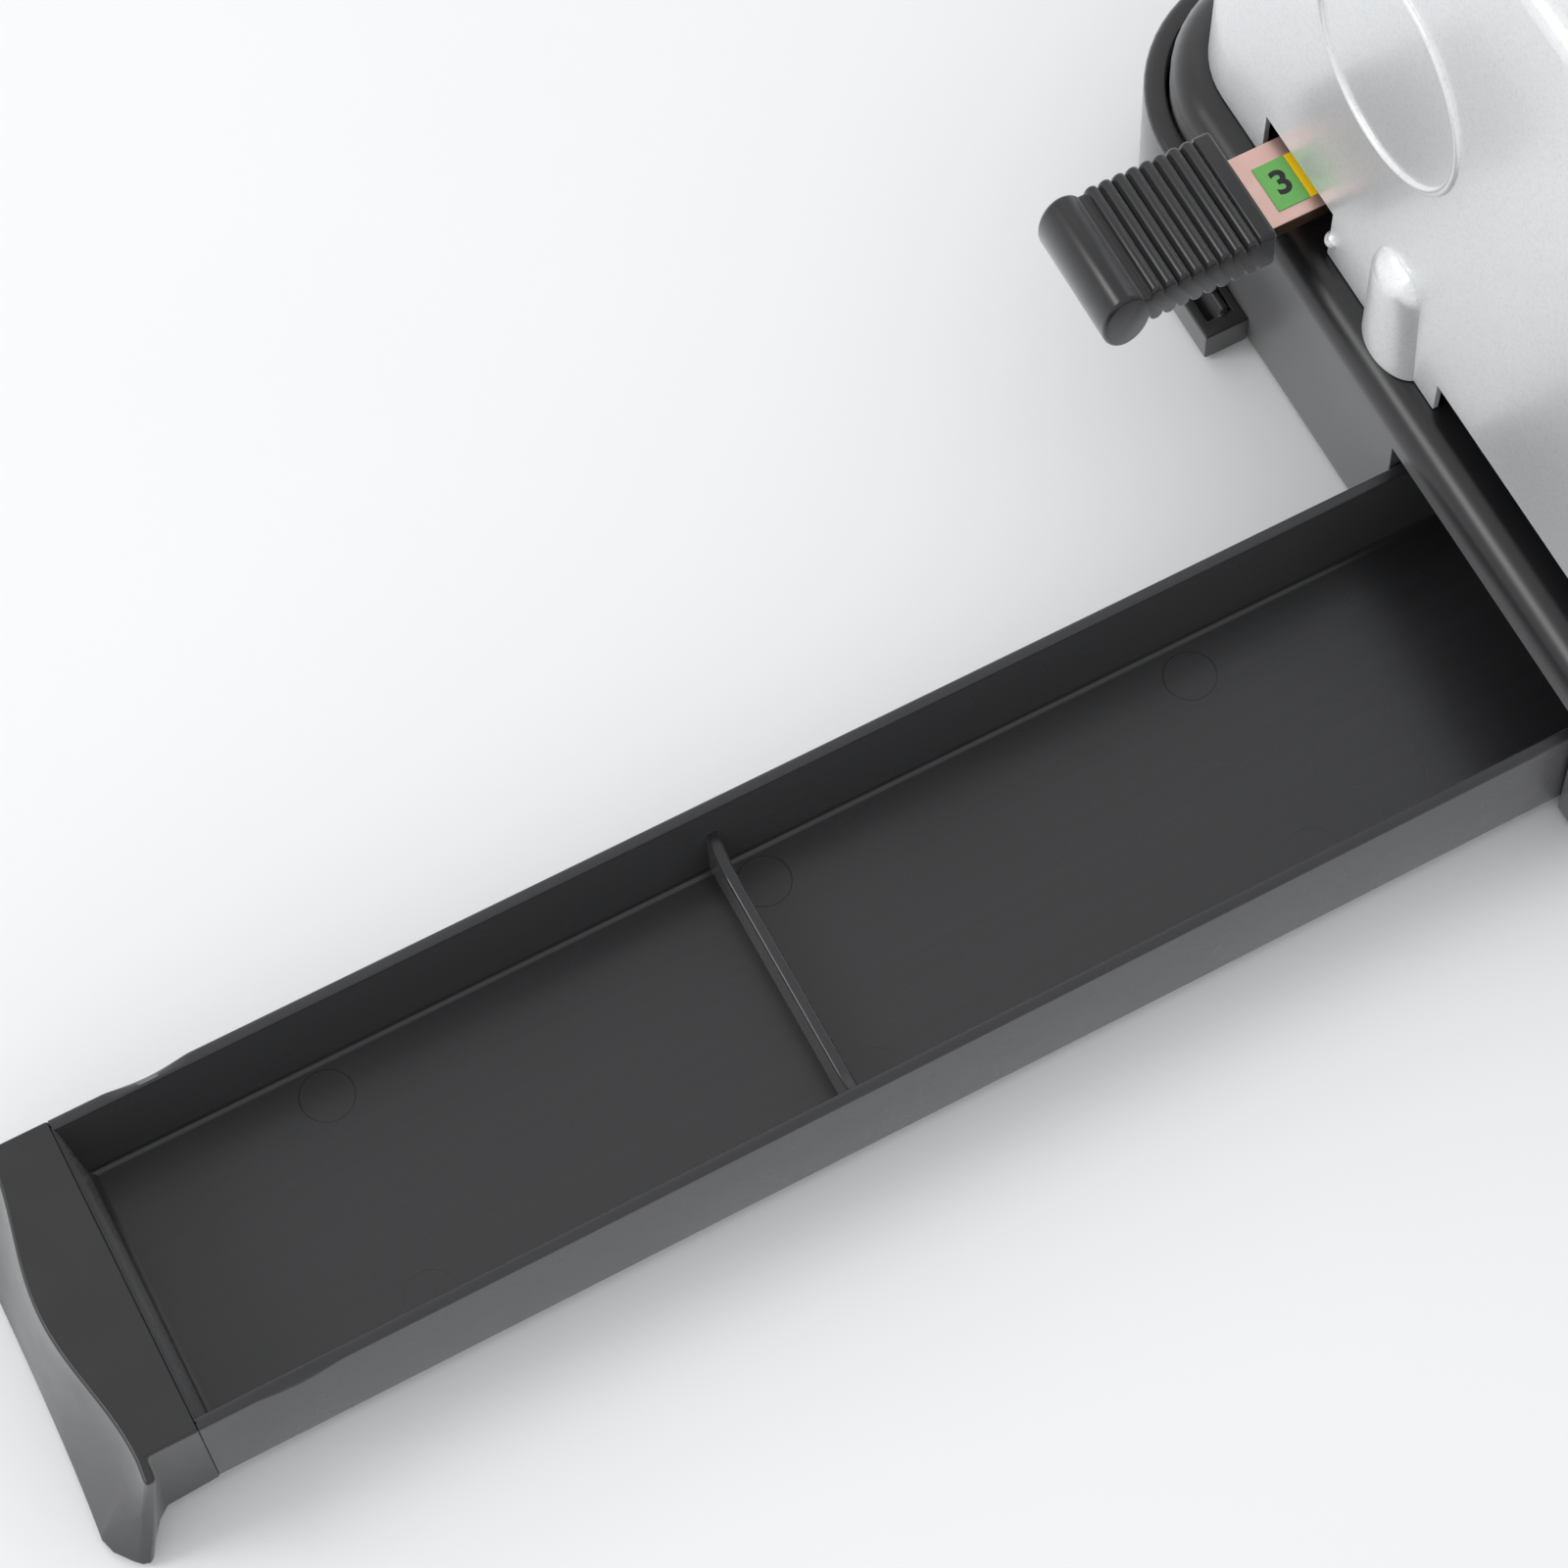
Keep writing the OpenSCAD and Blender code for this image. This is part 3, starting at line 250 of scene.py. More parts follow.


# Black ABS moulded in a finely spark-eroded tool: satin, with a soft highlight along every rolled edge and
# faint clouds where the plastic flowed. Its faces turn grey at a grazing angle through a painted sheen in
# the base colour.
black_abs, shader = material("moulded_black_abs")
place = add(black_abs, "TexCoord", {})
spark = add(black_abs, "TexNoise", {"Scale": per_mm(0.5), "Detail": 3, "Roughness": 0.6},
            [("Vector", place.outputs["Object"])])
flow = add(black_abs, "TexNoise", {"Scale": per_mm(25), "Detail": 3}, [("Vector", place.outputs["Object"])])
tone = add(black_abs, "Mix", {"data_type": "RGBA", 6: linear("#121214"), 7: linear("#19191b")},
           [(0, flow.outputs["Fac"])])
gloss = add(black_abs, "MapRange", {"From Min": 0.3, "From Max": 0.7, "To Min": 0.26, "To Max": 0.33},
            [("Value", flow.outputs["Fac"])])
grain = add(black_abs, "Bump", {"Strength": 0.16, "Distance": 0.00003}, [("Height", spark.outputs["Fac"])])
# Painted grazing sheen: the base colour turns pale grey where a face is seen edge on.
join(black_abs, painted_grazing_sheen(black_abs, tone.outputs[2], "#a9a9aa"), shader.inputs["Base Color"])
join(black_abs, gloss.outputs[0], shader.inputs["Roughness"])
join(black_abs, grain.outputs[0], shader.inputs["Normal"])
shader.inputs["IOR"].default_value = 1.53

base_lo, base_hi = span("base_shell")
tray_lo, tray_hi = span("chip_tray")
die_lo, die_hi = span("die_bar")
rim_r = 5
front_r = 14
back_r = 21
door_gap = 0.5
door_top = 27.3
housing_wall = 2.5
pocket_gap = 0.05
pocket_deep = 7.5
edge_r = 0.25
edge_angle = 42
door = (tray_lo[1] - door_gap, tray_hi[1] + door_gap)
outline = plan(base_lo, base_hi, front_r, back_r, breaks=door)
roll = np.radians(np.linspace(0, 90, 10))
rows = [ring_at(outline, 0, z) for z in (base_lo[2], base_lo[2] + 1.5, door_top)]
rows += [ring_at(outline, rim_r * (1 - math.cos(a)), base_hi[2] - rim_r + rim_r * math.sin(a)) for a in roll]
deck = rows[-1]
pocket = np.column_stack([np.clip(deck[:, 0], die_lo[0] - pocket_gap, die_hi[0] + pocket_gap),
                          np.clip(deck[:, 1], die_lo[1] - pocket_gap, die_hi[1] + pocket_gap), deck[:, 2]])
rows += [deck + (pocket - deck) * f for f in (0.3, 1)]
rows.append(pocket - [0, 0, pocket_deep])
grid = np.array(rows)


def cell_middles(points):
    """Middle of each cell of a closed grid: the mean of its four corners."""
    beside = np.roll(points, -1, 1)
    return (points[:-1] + points[1:] + beside[:-1] + beside[1:]) / 4


middle = cell_middles(grid)
keep = ~((middle[..., 0] < base_lo[0] + front_r) & (middle[..., 1] > door[0]) & (middle[..., 1] < door[1])
         & (middle[..., 2] < door_top))
housing = piece("base_housing", [quads(grid, caps=False, keep=keep)], black_abs, sharp=40)
wall(housing, housing_wall)
soften(housing, edge_r, angle=edge_angle)
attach(housing, "base")
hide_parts("base_shell")


# ------------------------------------------------------------------ outer strip round the back
# A separate ABS strip clipped round the back and its two corners. It stands off the housing, so that
# a dark gap shows between them, and its top edge is rolled.
def sweep(points, profile):
    """A closed section carried along a plan: section point (o, z) stands o outside the outline."""
    return np.array([np.column_stack([points[:, :2] + points[:, 2:4] * (points[:, 4] + o)[:, None],
                                      np.full(len(points), z)]) for o, z in profile]).transpose(1, 0, 2)


skirt_lo, skirt_hi = span("rear_skirt")
strip_out = 3.9
strip_gap = 0.6
strip_roll = 1.3
strip_edge = 0.3
strip_foot = skirt_lo[2] + 4
touch = 0.02
around = plan(base_lo, base_hi, front_r, back_r, breaks=[skirt_lo[1]], turns=16)


def nearest(points, x, y):
    """Index of the plan point that stands nearest to (x, y), by the sum of its two distances."""
    xy = points[:, :2] + points[:, 2:4] * points[:, 4:]
    return int(np.argmin(np.abs(xy - (x, y)).sum(1)))


around = np.roll(around, -nearest(around, base_hi[0], skirt_lo[1]), 0)
path = around[:nearest(around, base_lo[0], skirt_lo[1]) + 1]
arc = np.radians(np.linspace(0, 90, 6))
section = [(strip_out - strip_edge, skirt_lo[2]), (strip_out, skirt_lo[2] + strip_edge)]
section += [(strip_out - strip_roll * (1 - math.cos(a)), skirt_hi[2] - strip_roll * (1 - math.sin(a)))
            for a in arc]
section += [(strip_gap + strip_edge * (1 - math.sin(a)), skirt_hi[2] - strip_edge * (1 - math.cos(a)))
            for a in arc]
section += [(strip_gap, strip_foot), (touch, strip_foot), (touch, skirt_lo[2])]
strip = piece("rear_strip", [quads(sweep(path, section))], black_abs, sharp=40)
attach(strip, "base")
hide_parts("rear_skirt")


# ------------------------------------------------------------------ clip at the foot of the end wall
# Small open-topped clip with a rib inside, moulded in the housing's black ABS. It is fixed at the foot of
# the end wall, behind the selector's grip.
def dressed(node, name, finish, edge, angle=35):
    """A copy of a CAD node with its triangles merged and its flat faces joined, every edge sharper than
    the angle rounded to the given radius in millimetres."""
    mesh = frame["nodes"][node].data.copy()
    mesh.name = name
    mesh.materials.clear()
    bm = bmesh.new()
    bm.from_mesh(mesh)
    bmesh.ops.remove_doubles(bm, verts=bm.verts, dist=1e-6)
    bmesh.ops.dissolve_limit(bm, angle_limit=math.radians(0.5), verts=bm.verts, edges=bm.edges)
    bmesh.ops.recalc_face_normals(bm, faces=bm.faces)
    bm.to_mesh(mesh)
    bm.free()
    mesh.shade_smooth()
    mesh.set_sharp_from_angle(angle=math.radians(angle))
    mesh.materials.append(finish)
    made = bpy.data.objects.new(name, mesh)
    bpy.context.scene.collection.objects.link(made)
    soften(made, edge, angle)
    return made


clip = dressed("foot_clip", "end_clip", black_abs, 0.35)
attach(clip, "base")
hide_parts("foot_clip")


# ------------------------------------------------------------------ silver cover
# One moulded ABS hood, sprayed silver: ends that lean in a little, a front that leans back above the
# shoulder, rolled top edges, a paper throat along the front and a notch for the selector.
# Silver lacquer sprayed on ABS: fine aluminium flakes under a thin clear coat, with a trace of orange peel.
# It looks like pale metal that glints in specks, and it blurs the bright label beside it.
silver, shader = material("sprayed_silver_lacquer")
place = add(silver, "TexCoord", {})
flake = add(silver, "TexVoronoi", {"Scale": per_mm(0.35)}, [("Vector", place.outputs["Object"])])
sparkle = add(silver, "HueSaturation", {"Saturation": 0}, [("Color", flake.outputs["Color"])])
cloud = add(silver, "TexNoise", {"Scale": per_mm(40), "Detail": 2}, [("Vector", place.outputs["Object"])])
tone = add(silver, "Mix", {"data_type": "RGBA", 6: linear("#dcdedf"), 7: linear("#ecedee")},
           [(0, sparkle.outputs["Color"])])
gloss = add(silver, "MapRange", {"From Min": 0.3, "From Max": 0.7, "To Min": 0.32, "To Max": 0.38},
            [("Value", cloud.outputs["Fac"])])
peel = add(silver, "TexNoise", {"Scale": per_mm(1.4), "Detail": 1}, [("Vector", place.outputs["Object"])])
wave = add(silver, "Bump", {"Strength": 0.1, "Distance": 0.00003}, [("Height", peel.outputs["Fac"])])
fleck = add(silver, "Bump", {"Strength": 0.12, "Distance": 0.00003},
            [("Height", sparkle.outputs["Color"]), ("Normal", wave.outputs[0])])
join(silver, tone.outputs[2], shader.inputs["Base Color"])
join(silver, gloss.outputs[0], shader.inputs["Roughness"])
join(silver, fleck.outputs[0], shader.inputs["Normal"])
shader.inputs["Metallic"].default_value = 0.5
shader.inputs["Coat Weight"].default_value = 0.3
shader.inputs["Coat Roughness"].default_value = 0.12

cover_lo, cover_hi = span("top_cover")
cover_foot = cover_lo[2]
cover_end = 164.5
cover_front = cover_lo[1]
shoulder = 80
front_lean = 25
draft = 1.8
cover_roll = 3
cover_front_r = 12
cover_back_r = 16
cover_wall = 1.0
cover_edge = 0.18
spine_x = 120
spine_y = 22
throat_top = 41.8
throat_end = -7.8
bar_lo, bar_hi = span("selector_bar")
notch = (bar_lo[1] - 3.3, bar_hi[1] + 2.4)
notch_top = bar_hi[2] + 2.5


def cover_row(z, inset=0):
    """Outline of the cover at a height, anticlockwise; the ends lean by the draft from foot to top and the
    front by its lean from the shoulder to the top."""
    share = (z - cover_foot) / (cover_hi[2] - cover_foot)
    back = max(0, (z - shoulder) / (cover_hi[2] - shoulder))
    lo = np.array([-cover_end + draft * share, cover_front + front_lean * back, 0])
    hi = np.array([cover_end - draft * share, cover_hi[1] - draft * share, 0])
    points = plan(lo, hi, cover_front_r, cover_back_r, breaks=cover_breaks, turns=14)
    return ring_at(points, inset, z)


cover_breaks = [throat_end, notch[0], notch[1], 30.0, 5.0, 10.0]
heights = [cover_foot, throat_top, notch_top, 50, 65, shoulder, 90, 105, 120, cover_hi[2] - cover_roll]
rows = [cover_row(z) for z in heights]
for a in np.radians(np.linspace(15, 90, 6)):
    rows.append(cover_row(cover_hi[2] - cover_roll * (1 - math.sin(a)), cover_roll * (1 - math.cos(a))))
top = rows[-1]
spine = np.column_stack([np.clip(top[:, 0], -spine_x, spine_x), np.full(len(top), spine_y), top[:, 2]])
rows += [top + (spine - top) * f for f in (0.1, 0.5, 1)]
grid = np.array(rows)
middle = cell_middles(grid)
keep = ~(((middle[..., 2] < throat_top) & (middle[..., 1] < throat_end))
         | ((middle[..., 2] < notch_top) & (middle[..., 0] < cover_front_r - cover_end)
            & (middle[..., 1] > notch[0]) & (middle[..., 1] < notch[1])))
cover = piece("silver_cover", [quads(grid, caps=False, keep=keep)], silver, sharp=32)
wall(cover, cover_wall)
soften(cover, cover_edge, angle=edge_angle)
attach(cover, "base")
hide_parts("top_cover")

# Raised ring on the left end, its plane leaning with the wall.
ring_r = 17.8
bead = 0.75
ring_proud = 0.15
shaft_lo, shaft_hi = span("lever_shaft")
shaft = (shaft_lo + shaft_hi) / 2
lean = draft / (cover_hi[2] - cover_foot)
u, v = np.meshgrid(np.linspace(0, 2 * np.pi, 97), np.linspace(0, 2 * np.pi, 25)[:-1], indexing="ij")
up = (ring_r + bead * np.cos(v)) * np.sin(u)
grid = np.stack([-cover_end + (shaft[2] - cover_foot + up) * lean + ring_proud - bead * np.sin(v),
                 shaft[1] + (ring_r + bead * np.cos(v)) * np.cos(u), shaft[2] + up], -1)
end_ring = piece("end_ring", [quads(grid, caps=False)], silver)
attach(end_ring, "base")

# Half-round column below it: its top is cut on a slant that falls outwards, with a rolled edge.
column_half = 5.8
column_out = 4.1
column_sunk = 1.0
column_y = 4.7
column_top = 57.0
column_fall = 1.1
column_arch = 4.5
column_edge = 0.9
column_taper = 0.16
column_drift = 0.6


def column_crest(x, y):
    """Height of the column's slanted top: it falls outwards from the wall and, as an arch does, with the
    fourth power of the distance from the column's middle."""
    across = np.clip(np.abs(y - column_y) / column_half, 0, 1)
    return column_top - column_fall * np.clip(-cover_end - x, 0, None) - column_arch * across ** 4


u = np.linspace(np.pi / 2, 3 * np.pi / 2, 41)
rows = []
for share in (0, 0.35, 0.7, 1):
    taper = 1 + column_taper * (1 - share)
    x = -cover_end + column_sunk + column_out * np.cos(u)
    y = column_y + column_half * taper * np.sin(u)
    crest = column_crest(x, y) - column_edge
    rows.append(np.stack([x, y - column_drift * (1 - share), cover_foot + (crest - cover_foot) * share], -1))
for a in np.radians((18, 36, 54, 72, 90)):
    shrink = column_edge * (1 - math.cos(a))
    x = -cover_end + column_sunk + (column_out - shrink) * np.cos(u)
    y = column_y + (column_half - shrink) * np.sin(u)
    rows.append(np.stack([x, y, column_crest(x, y) - column_edge * (1 - math.sin(a))], -1))
rim = rows[-1]
for f in (0.8, 0.6, 0.4, 0.2, 0.02):
    x = -cover_end + column_sunk + (rim[:, 0] + cover_end - column_sunk) * f
    y = column_y + (rim[:, 1] - column_y) * f
    rows.append(np.stack([x, y, column_crest(x, y)], -1))
half_round = piece("end_column", [quads(np.array(rows))], silver, sharp=60)
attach(half_round, "base")

# Moulding pip on the notch's front edge.
pip_r = 1.45
pip_at = (-cover_end + 0.5, notch[0] - 0.7, 39.5)
pole = 0.001
u, v = np.meshgrid(np.linspace(pole, np.pi - pole, 13), np.linspace(0, 2 * np.pi, 25)[:-1], indexing="ij")
grid = pip_r * np.stack([np.sin(u) * np.cos(v), np.sin(u) * np.sin(v), np.cos(u)], -1) + pip_at
pip = piece("notch_pip", [quads(grid)], silver)
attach(pip, "base")


# ------------------------------------------------------------------ chip tray
# Thin-walled drawer of black ABS with two low cross walls. A finger scoop thins the rims near the cap,
# the floor's corners are radiused, and round ejector marks show in the floor.
# Black ABS from a polished tool: smoother than the housing, with long faint flow lines along the floor and
# a smeared gloss that paper dust has dulled in places.
tray_abs, shader = material("polished_black_abs")
place = add(tray_abs, "TexCoord", {})
stretch = add(tray_abs, "Mapping", {"Scale": (0.012, 1, 1)}, [("Vector", place.outputs["Object"])])
streak = add(tray_abs, "TexNoise", {"Scale": per_mm(1.5), "Detail": 4, "Roughness": 0.65},
             [("Vector", stretch.outputs[0])])
smear = add(tray_abs, "TexNoise", {"Scale": per_mm(18), "Detail": 3}, [("Vector", place.outputs["Object"])])
tone = add(tray_abs, "Mix", {"data_type": "RGBA", 6: linear("#202022"), 7: linear("#29292b")},
           [(0, streak.outputs["Fac"])])
gloss = add(tray_abs, "MapRange", {"From Min": 0.3, "From Max": 0.7, "To Min": 0.24, "To Max": 0.32},
            [("Value", smear.outputs["Fac"])])
lines = add(tray_abs, "Bump", {"Strength": 0.12, "Distance": 0.00002}, [("Height", streak.outputs["Fac"])])
# Painted grazing sheen: the base colour turns pale grey where a face is seen edge on.
join(tray_abs, painted_grazing_sheen(tray_abs, tone.outputs[2], "#7e7e7f"), shader.inputs["Base Color"])
join(tray_abs, gloss.outputs[0], shader.inputs["Roughness"])
join(tray_abs, lines.outputs[0], shader.inputs["Normal"])
shader.inputs["IOR"].default_value = 1.53

tray_wall = 1.8
scoop_mid = tray_lo[0] + 14.5
scoop_half = 6.5
scoop_deep = 1.3
tray_rim = tray_hi[2]
floor_top = tray_lo[2] + tray_wall


def bend(cy, cz, r, start, end, count=6):
    """Arc of points in a section."""
    a = np.radians(np.linspace(start, end, count))
    return np.column_stack([cy + r * np.cos(a), cz + r * np.sin(a)])


y0, y1, z0 = tray_lo[1], tray_hi[1], tray_lo[2]
rim_round = 0.45
foot_r = 1.2
fillet = 1.0
rim_z = tray_rim - rim_round
section = np.concatenate([
    bend(y0 + foot_r, z0 + foot_r, foot_r, 180, 270),
    bend(y1 - foot_r, z0 + foot_r, foot_r, 270, 360),
    bend(y1 - rim_round, rim_z, rim_round, 0, 90),
    bend(y1 - tray_wall + rim_round, rim_z, rim_round, 90, 180),
    bend(y1 - tray_wall - fillet, floor_top + fillet, fillet, 360, 270),
    bend(y0 + tray_wall + fillet, floor_top + fillet, fillet, 270, 180),
    bend(y0 + tray_wall - rim_round, rim_z, rim_round, 0, 90),
    bend(y0 + rim_round, rim_z, rim_round, 90, 180)])
along = np.concatenate([[tray_lo[0], tray_lo[0] + 4],
                        np.linspace(scoop_mid - scoop_half, scoop_mid + scoop_half, 31),
                        np.linspace(scoop_mid + scoop_half + 8, tray_hi[0], 24)])
swell = np.clip(1 - ((along - scoop_mid) / scoop_half) ** 2, 0, 1) ** 1.5
outer = np.clip(1 - np.minimum(section[:, 0] - y0, y1 - section[:, 0]) / (tray_wall - rim_round), 0, 1)
near_rim = np.clip((section[:, 1] - (tray_rim - 1)) / 0.5, 0, 1)
grid = np.stack([np.broadcast_to(along[:, None], (len(along), len(section))),
                 np.broadcast_to(section[:, 0], (len(along), len(section))),
                 section[:, 1] - scoop_deep * swell[:, None] * (outer * near_rim)], -1)


sunk = 0.3
wall_mid = tray_wall / 2


def cross_wall(x, thick, low, sweep_r, top_round=0.5):
    """Cross wall of the tray: a section through its thickness with a rounded top, carried across the tray
    along a height that sweeps up to each side wall on a quarter circle."""
    reach = np.radians(np.linspace(0, 90, 10))
    near = np.column_stack([y0 + wall_mid + sweep_r * (1 - np.cos(reach)),
                            low + sweep_r * (1 - np.sin(reach))])
    far = np.column_stack([y0 + y1 - near[::-1, 0], near[::-1, 1]])
    crest = np.concatenate([near, far])
    flat = thick / 2 - top_round
    a = np.radians(np.linspace(0, 180, 7))
    shape = [(-thick / 2, None), (thick / 2, None)]
    shape += [(flat + top_round * math.cos(t), top_round * (math.sin(t) - 1)) for t in a[:4]]
    shape += [(-flat + top_round * math.cos(t), top_round * (math.sin(t) - 1)) for t in a[3:]]
    return np.array([[(x + dx, y, floor_top - sunk if dz is None else z + dz) for dx, dz in shape]
                     for y, z in crest])


divider_x = (tray_lo[0] + 100, tray_lo[0] + 240)
divider_t = 1.9
divider_low = tray_lo[2] + 9
divider_sweep = 8
parts = [quads(grid)]
parts += [quads(cross_wall(x, divider_t, divider_low, divider_sweep)) for x in divider_x]
parts.append(quads(cross_wall(tray_hi[0] - wall_mid, tray_wall, tray_rim - 0.1, 0.1)))

# Outer end wall: its face leans in towards the floor from the cap's inner edge, and ends in a fillet.
face_in = 0.5
face_lean = 1.3
face_fall = 0.9
face_foot = 3.0
drop = tray_rim - face_fall
lean_in = [(0, floor_top - sunk), (0, tray_rim), (0.1, tray_rim), (face_in, drop)]
lean_in += [(face_in + face_lean * s, drop - (drop - floor_top - foot_r) * s) for s in (0.3, 0.6, 1)]
lean_in += [(face_foot - foot_r * math.cos(a), floor_top + foot_r * (1 - math.sin(a)))
            for a in np.radians((25, 45, 65, 85))]
lean_in += [(face_foot, floor_top - sunk)]
parts.append(quads(np.array([[(tray_lo[0] + dx, y, z) for dx, z in lean_in]
                             for y in (y0 + wall_mid, y1 - wall_mid)])))

# Ejector marks: shallow rings, hardly proud of the floor.
marks = ((105, 42.4), (174.8, 41.9), (105, 9), (176.2, 9), (36, 42.4), (36, 9), (262, 42.4), (262, 9))
mark_ring = ((4.1, -0.2), (4.1, 0.02), (4.0, 0.05), (3.85, 0.02), (3.85, -0.2))
u = np.linspace(0, 2 * np.pi, 49)[:-1]
for x, y in marks:
    rows = [np.column_stack([tray_lo[0] + x + r * np.cos(u), y0 + y + r * np.sin(u),
                             np.full(len(u), floor_top + z)]) for r, z in mark_ring]
    parts.append(quads(np.array(rows), caps=False))
drawer = piece("chip_drawer", parts, tray_abs, sharp=50)
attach(drawer, "tray")
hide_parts("chip_tray")


# ------------------------------------------------------------------ end cap of the tray
# Solid-looking moulded front: a flat textured top whose outer edge waves in plan, and an outer face that
# slopes out to a pointed lip at the front foot. Glued to the drawer.
# Black ABS from a coarsely spark-eroded tool: its pits scatter the light, so the flat top is matt and dark.
# The sloping face turns grey through a painted grazing sheen in the base colour.
textured_abs, shader = material("spark_textured_abs")
place = add(textured_abs, "TexCoord", {})
spark = add(textured_abs, "TexNoise", {"Scale": per_mm(0.45), "Detail": 4, "Roughness": 0.7},
            [("Vector", place.outputs["Object"])])
patch = add(textured_abs, "TexNoise", {"Scale": per_mm(9), "Detail": 4},
            [("Vector", place.outputs["Object"])])
tone = add(textured_abs, "Mix", {"data_type": "RGBA", 6: linear("#151516"), 7: linear("#1f1f20")},
           [(0, patch.outputs["Fac"])])
gloss = add(textured_abs, "MapRange", {"From Min": 0.3, "From Max": 0.7, "To Min": 0.3, "To Max": 0.4},
            [("Value", patch.outputs["Fac"])])
grain = add(textured_abs, "Bump", {"Strength": 0.35, "Distance": 0.00004},
            [("Height", spark.outputs["Fac"])])
# Painted grazing sheen: the base colour turns pale grey where a face is seen edge on.
join(textured_abs, painted_grazing_sheen(textured_abs, tone.outputs[2], "#7c7c7d"), shader.inputs["Base Color"])
join(textured_abs, gloss.outputs[0], shader.inputs["Roughness"])
join(textured_abs, grain.outputs[0], shader.inputs["Normal"])
shader.inputs["IOR"].default_value = 1.53

cap_lo = span("tray_cap")[0]
cap_front = tray_lo[1]
cap_back = tray_hi[1]
cap_top = tray_rim + 0.03
cap_out = 9
cap_wave = 3.3
foot_out = 16.6
foot_flare = 1.4
face_curve = 1.25
lip_swell = 1.4
flush_x = 10
t = np.linspace(1, 0, 61)
edge_y = cap_front + (cap_back - cap_front) * t
edge_top = np.column_stack([-cap_out - cap_wave * (0.5 - 0.5 * np.cos(2 * np.pi * t)), edge_y])
edge_foot = np.column_stack([-foot_out - foot_flare * (1 - t) ** 3, edge_y])
fin_top = np.array([(-9.15, -1.8), (-9.3, -3.2), (-8.9, -3.5), (-8.1, -3.5), (-7.7, -3.2), (-7.6, -2.2),
                    (-7.6, -1.1), (-7.6, 0)]) + [0, cap_front]
fin_foot = np.array([(-17.3, -2.3), (-15.3, -4.9), (-14.4, -5.8), (-13.5, -6.1), (-12.9, -6.0),
                     (-11.4, -3.4), (-9.8, -1.3), (-8, 0)]) + [0, cap_front]
inside = np.array([(0.05, cap_front), (0.05, cap_back)])
top_ring = np.concatenate([edge_top, fin_top, inside])
foot_ring = np.concatenate([edge_foot, fin_foot, inside])
rows = []
for s in np.concatenate([[0], np.linspace(0.03, 0.97, 14), [1]]):
    ring = top_ring + (foot_ring - top_ring) * s ** face_curve
    ring[len(edge_top) + 2:-2, 1] += (1 - s) * s * lip_swell
    low = cap_lo[2] + (tray_lo[2] - cap_lo[2]) * np.clip(1 + ring[:, 0] / flush_x, 0, 1)
    rows.append(np.column_stack([tray_lo[0] + ring[:, 0], ring[:, 1], cap_top + (low - cap_top) * s]))
grid = np.array(rows)
front_cap = piece("drawer_cap", [quads(grid)], textured_abs, sharp=50)
soften(front_cap, 0.6, angle=50)
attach(front_cap, "tray")
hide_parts("tray_cap")


# ------------------------------------------------------------------ selector
# A copper-plated steel bar slides through the hood's notch and carries three coloured film labels stuck in
# a row. A ribbed finger grip of black ABS is moulded over its outer end.
# Thin copper plate on drawn strip: pinkish and satin with faint stains, while the sheared long edges,
# which the plating hardly covers, stay dark brown.
copper, shader = material("copper_plated_steel")
place = add(copper, "TexCoord", {})
stretch = add(copper, "Mapping", {"Scale": (0.05, 1, 1)}, [("Vector", place.outputs["Object"])])
drawn = add(copper, "TexNoise", {"Scale": per_mm(0.3), "Detail": 3}, [("Vector", stretch.outputs[0])])
stain = add(copper, "TexNoise", {"Scale": per_mm(5), "Detail": 3}, [("Vector", place.outputs["Object"])])
tone = add(copper, "Mix", {"data_type": "RGBA", 6: linear("#dcb0a6"), 7: linear("#e6c6bd")},
           [(0, stain.outputs["Fac"])])
line = add(copper, "Bump", {"Strength": 0.2, "Distance": 0.00003}, [("Height", drawn.outputs["Fac"])])
side = add(copper, "SeparateXYZ", {}, [(0, place.outputs["Normal"])])
sheared = add(copper, "Math", {"operation": "ABSOLUTE"}, [(0, side.outputs["Y"])])
edge_mix = add(copper, "MapRange", {"From Min": 0.75, "From Max": 0.95}, [("Value", sheared.outputs[0])])
bare = add(copper, "Mix", {"data_type": "RGBA", 7: linear("#5e4a3a")},
           [(0, edge_mix.outputs[0]), (6, tone.outputs[2])])
join(copper, bare.outputs[2], shader.inputs["Base Color"])
join(copper, line.outputs[0], shader.inputs["Normal"])
shader.inputs["Metallic"].default_value = 0.8
shader.inputs["Roughness"].default_value = 0.38

bar = dressed("selector_bar", "copper_bar", copper, 0.25)
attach(bar, "selector")
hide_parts("selector_bar")

label_lo, label_hi = span("selector_labels")
digit_size = 0.0057
digit_bold = 0.00016
digit_shift = 0.0002
ink_thick = 0.00001
label_edges = ((label_lo[0], label_lo[0] + 5.2), (label_lo[0] + 5.3, label_lo[0] + 11.2),
               (label_lo[0] + 11.3, label_lo[0] + 17.2))
label_names = ("three", "two", "four")
digits = ("3", "2", "4")


def film(name, hex_colour):
    """Screen-printed polyester film: one even ink with a faint mottle, satin, so that it stays vivid."""
    made, shader = material(name)
    place = add(made, "TexCoord", {})
    ink = add(made, "TexNoise", {"Scale": per_mm(1.2), "Detail": 3}, [("Vector", place.outputs["Object"])])
    tone = add(made, "HueSaturation", {"Color": linear(hex_colour)})
    shade = add(made, "MapRange", {"To Min": 0.92, "To Max": 1.06}, [("Value", ink.outputs["Fac"])])
    join(made, shade.outputs[0], tone.inputs["Value"])
    join(made, tone.outputs[0], shader.inputs["Base Color"])
    shader.inputs["Roughness"].default_value = 0.4
    return made


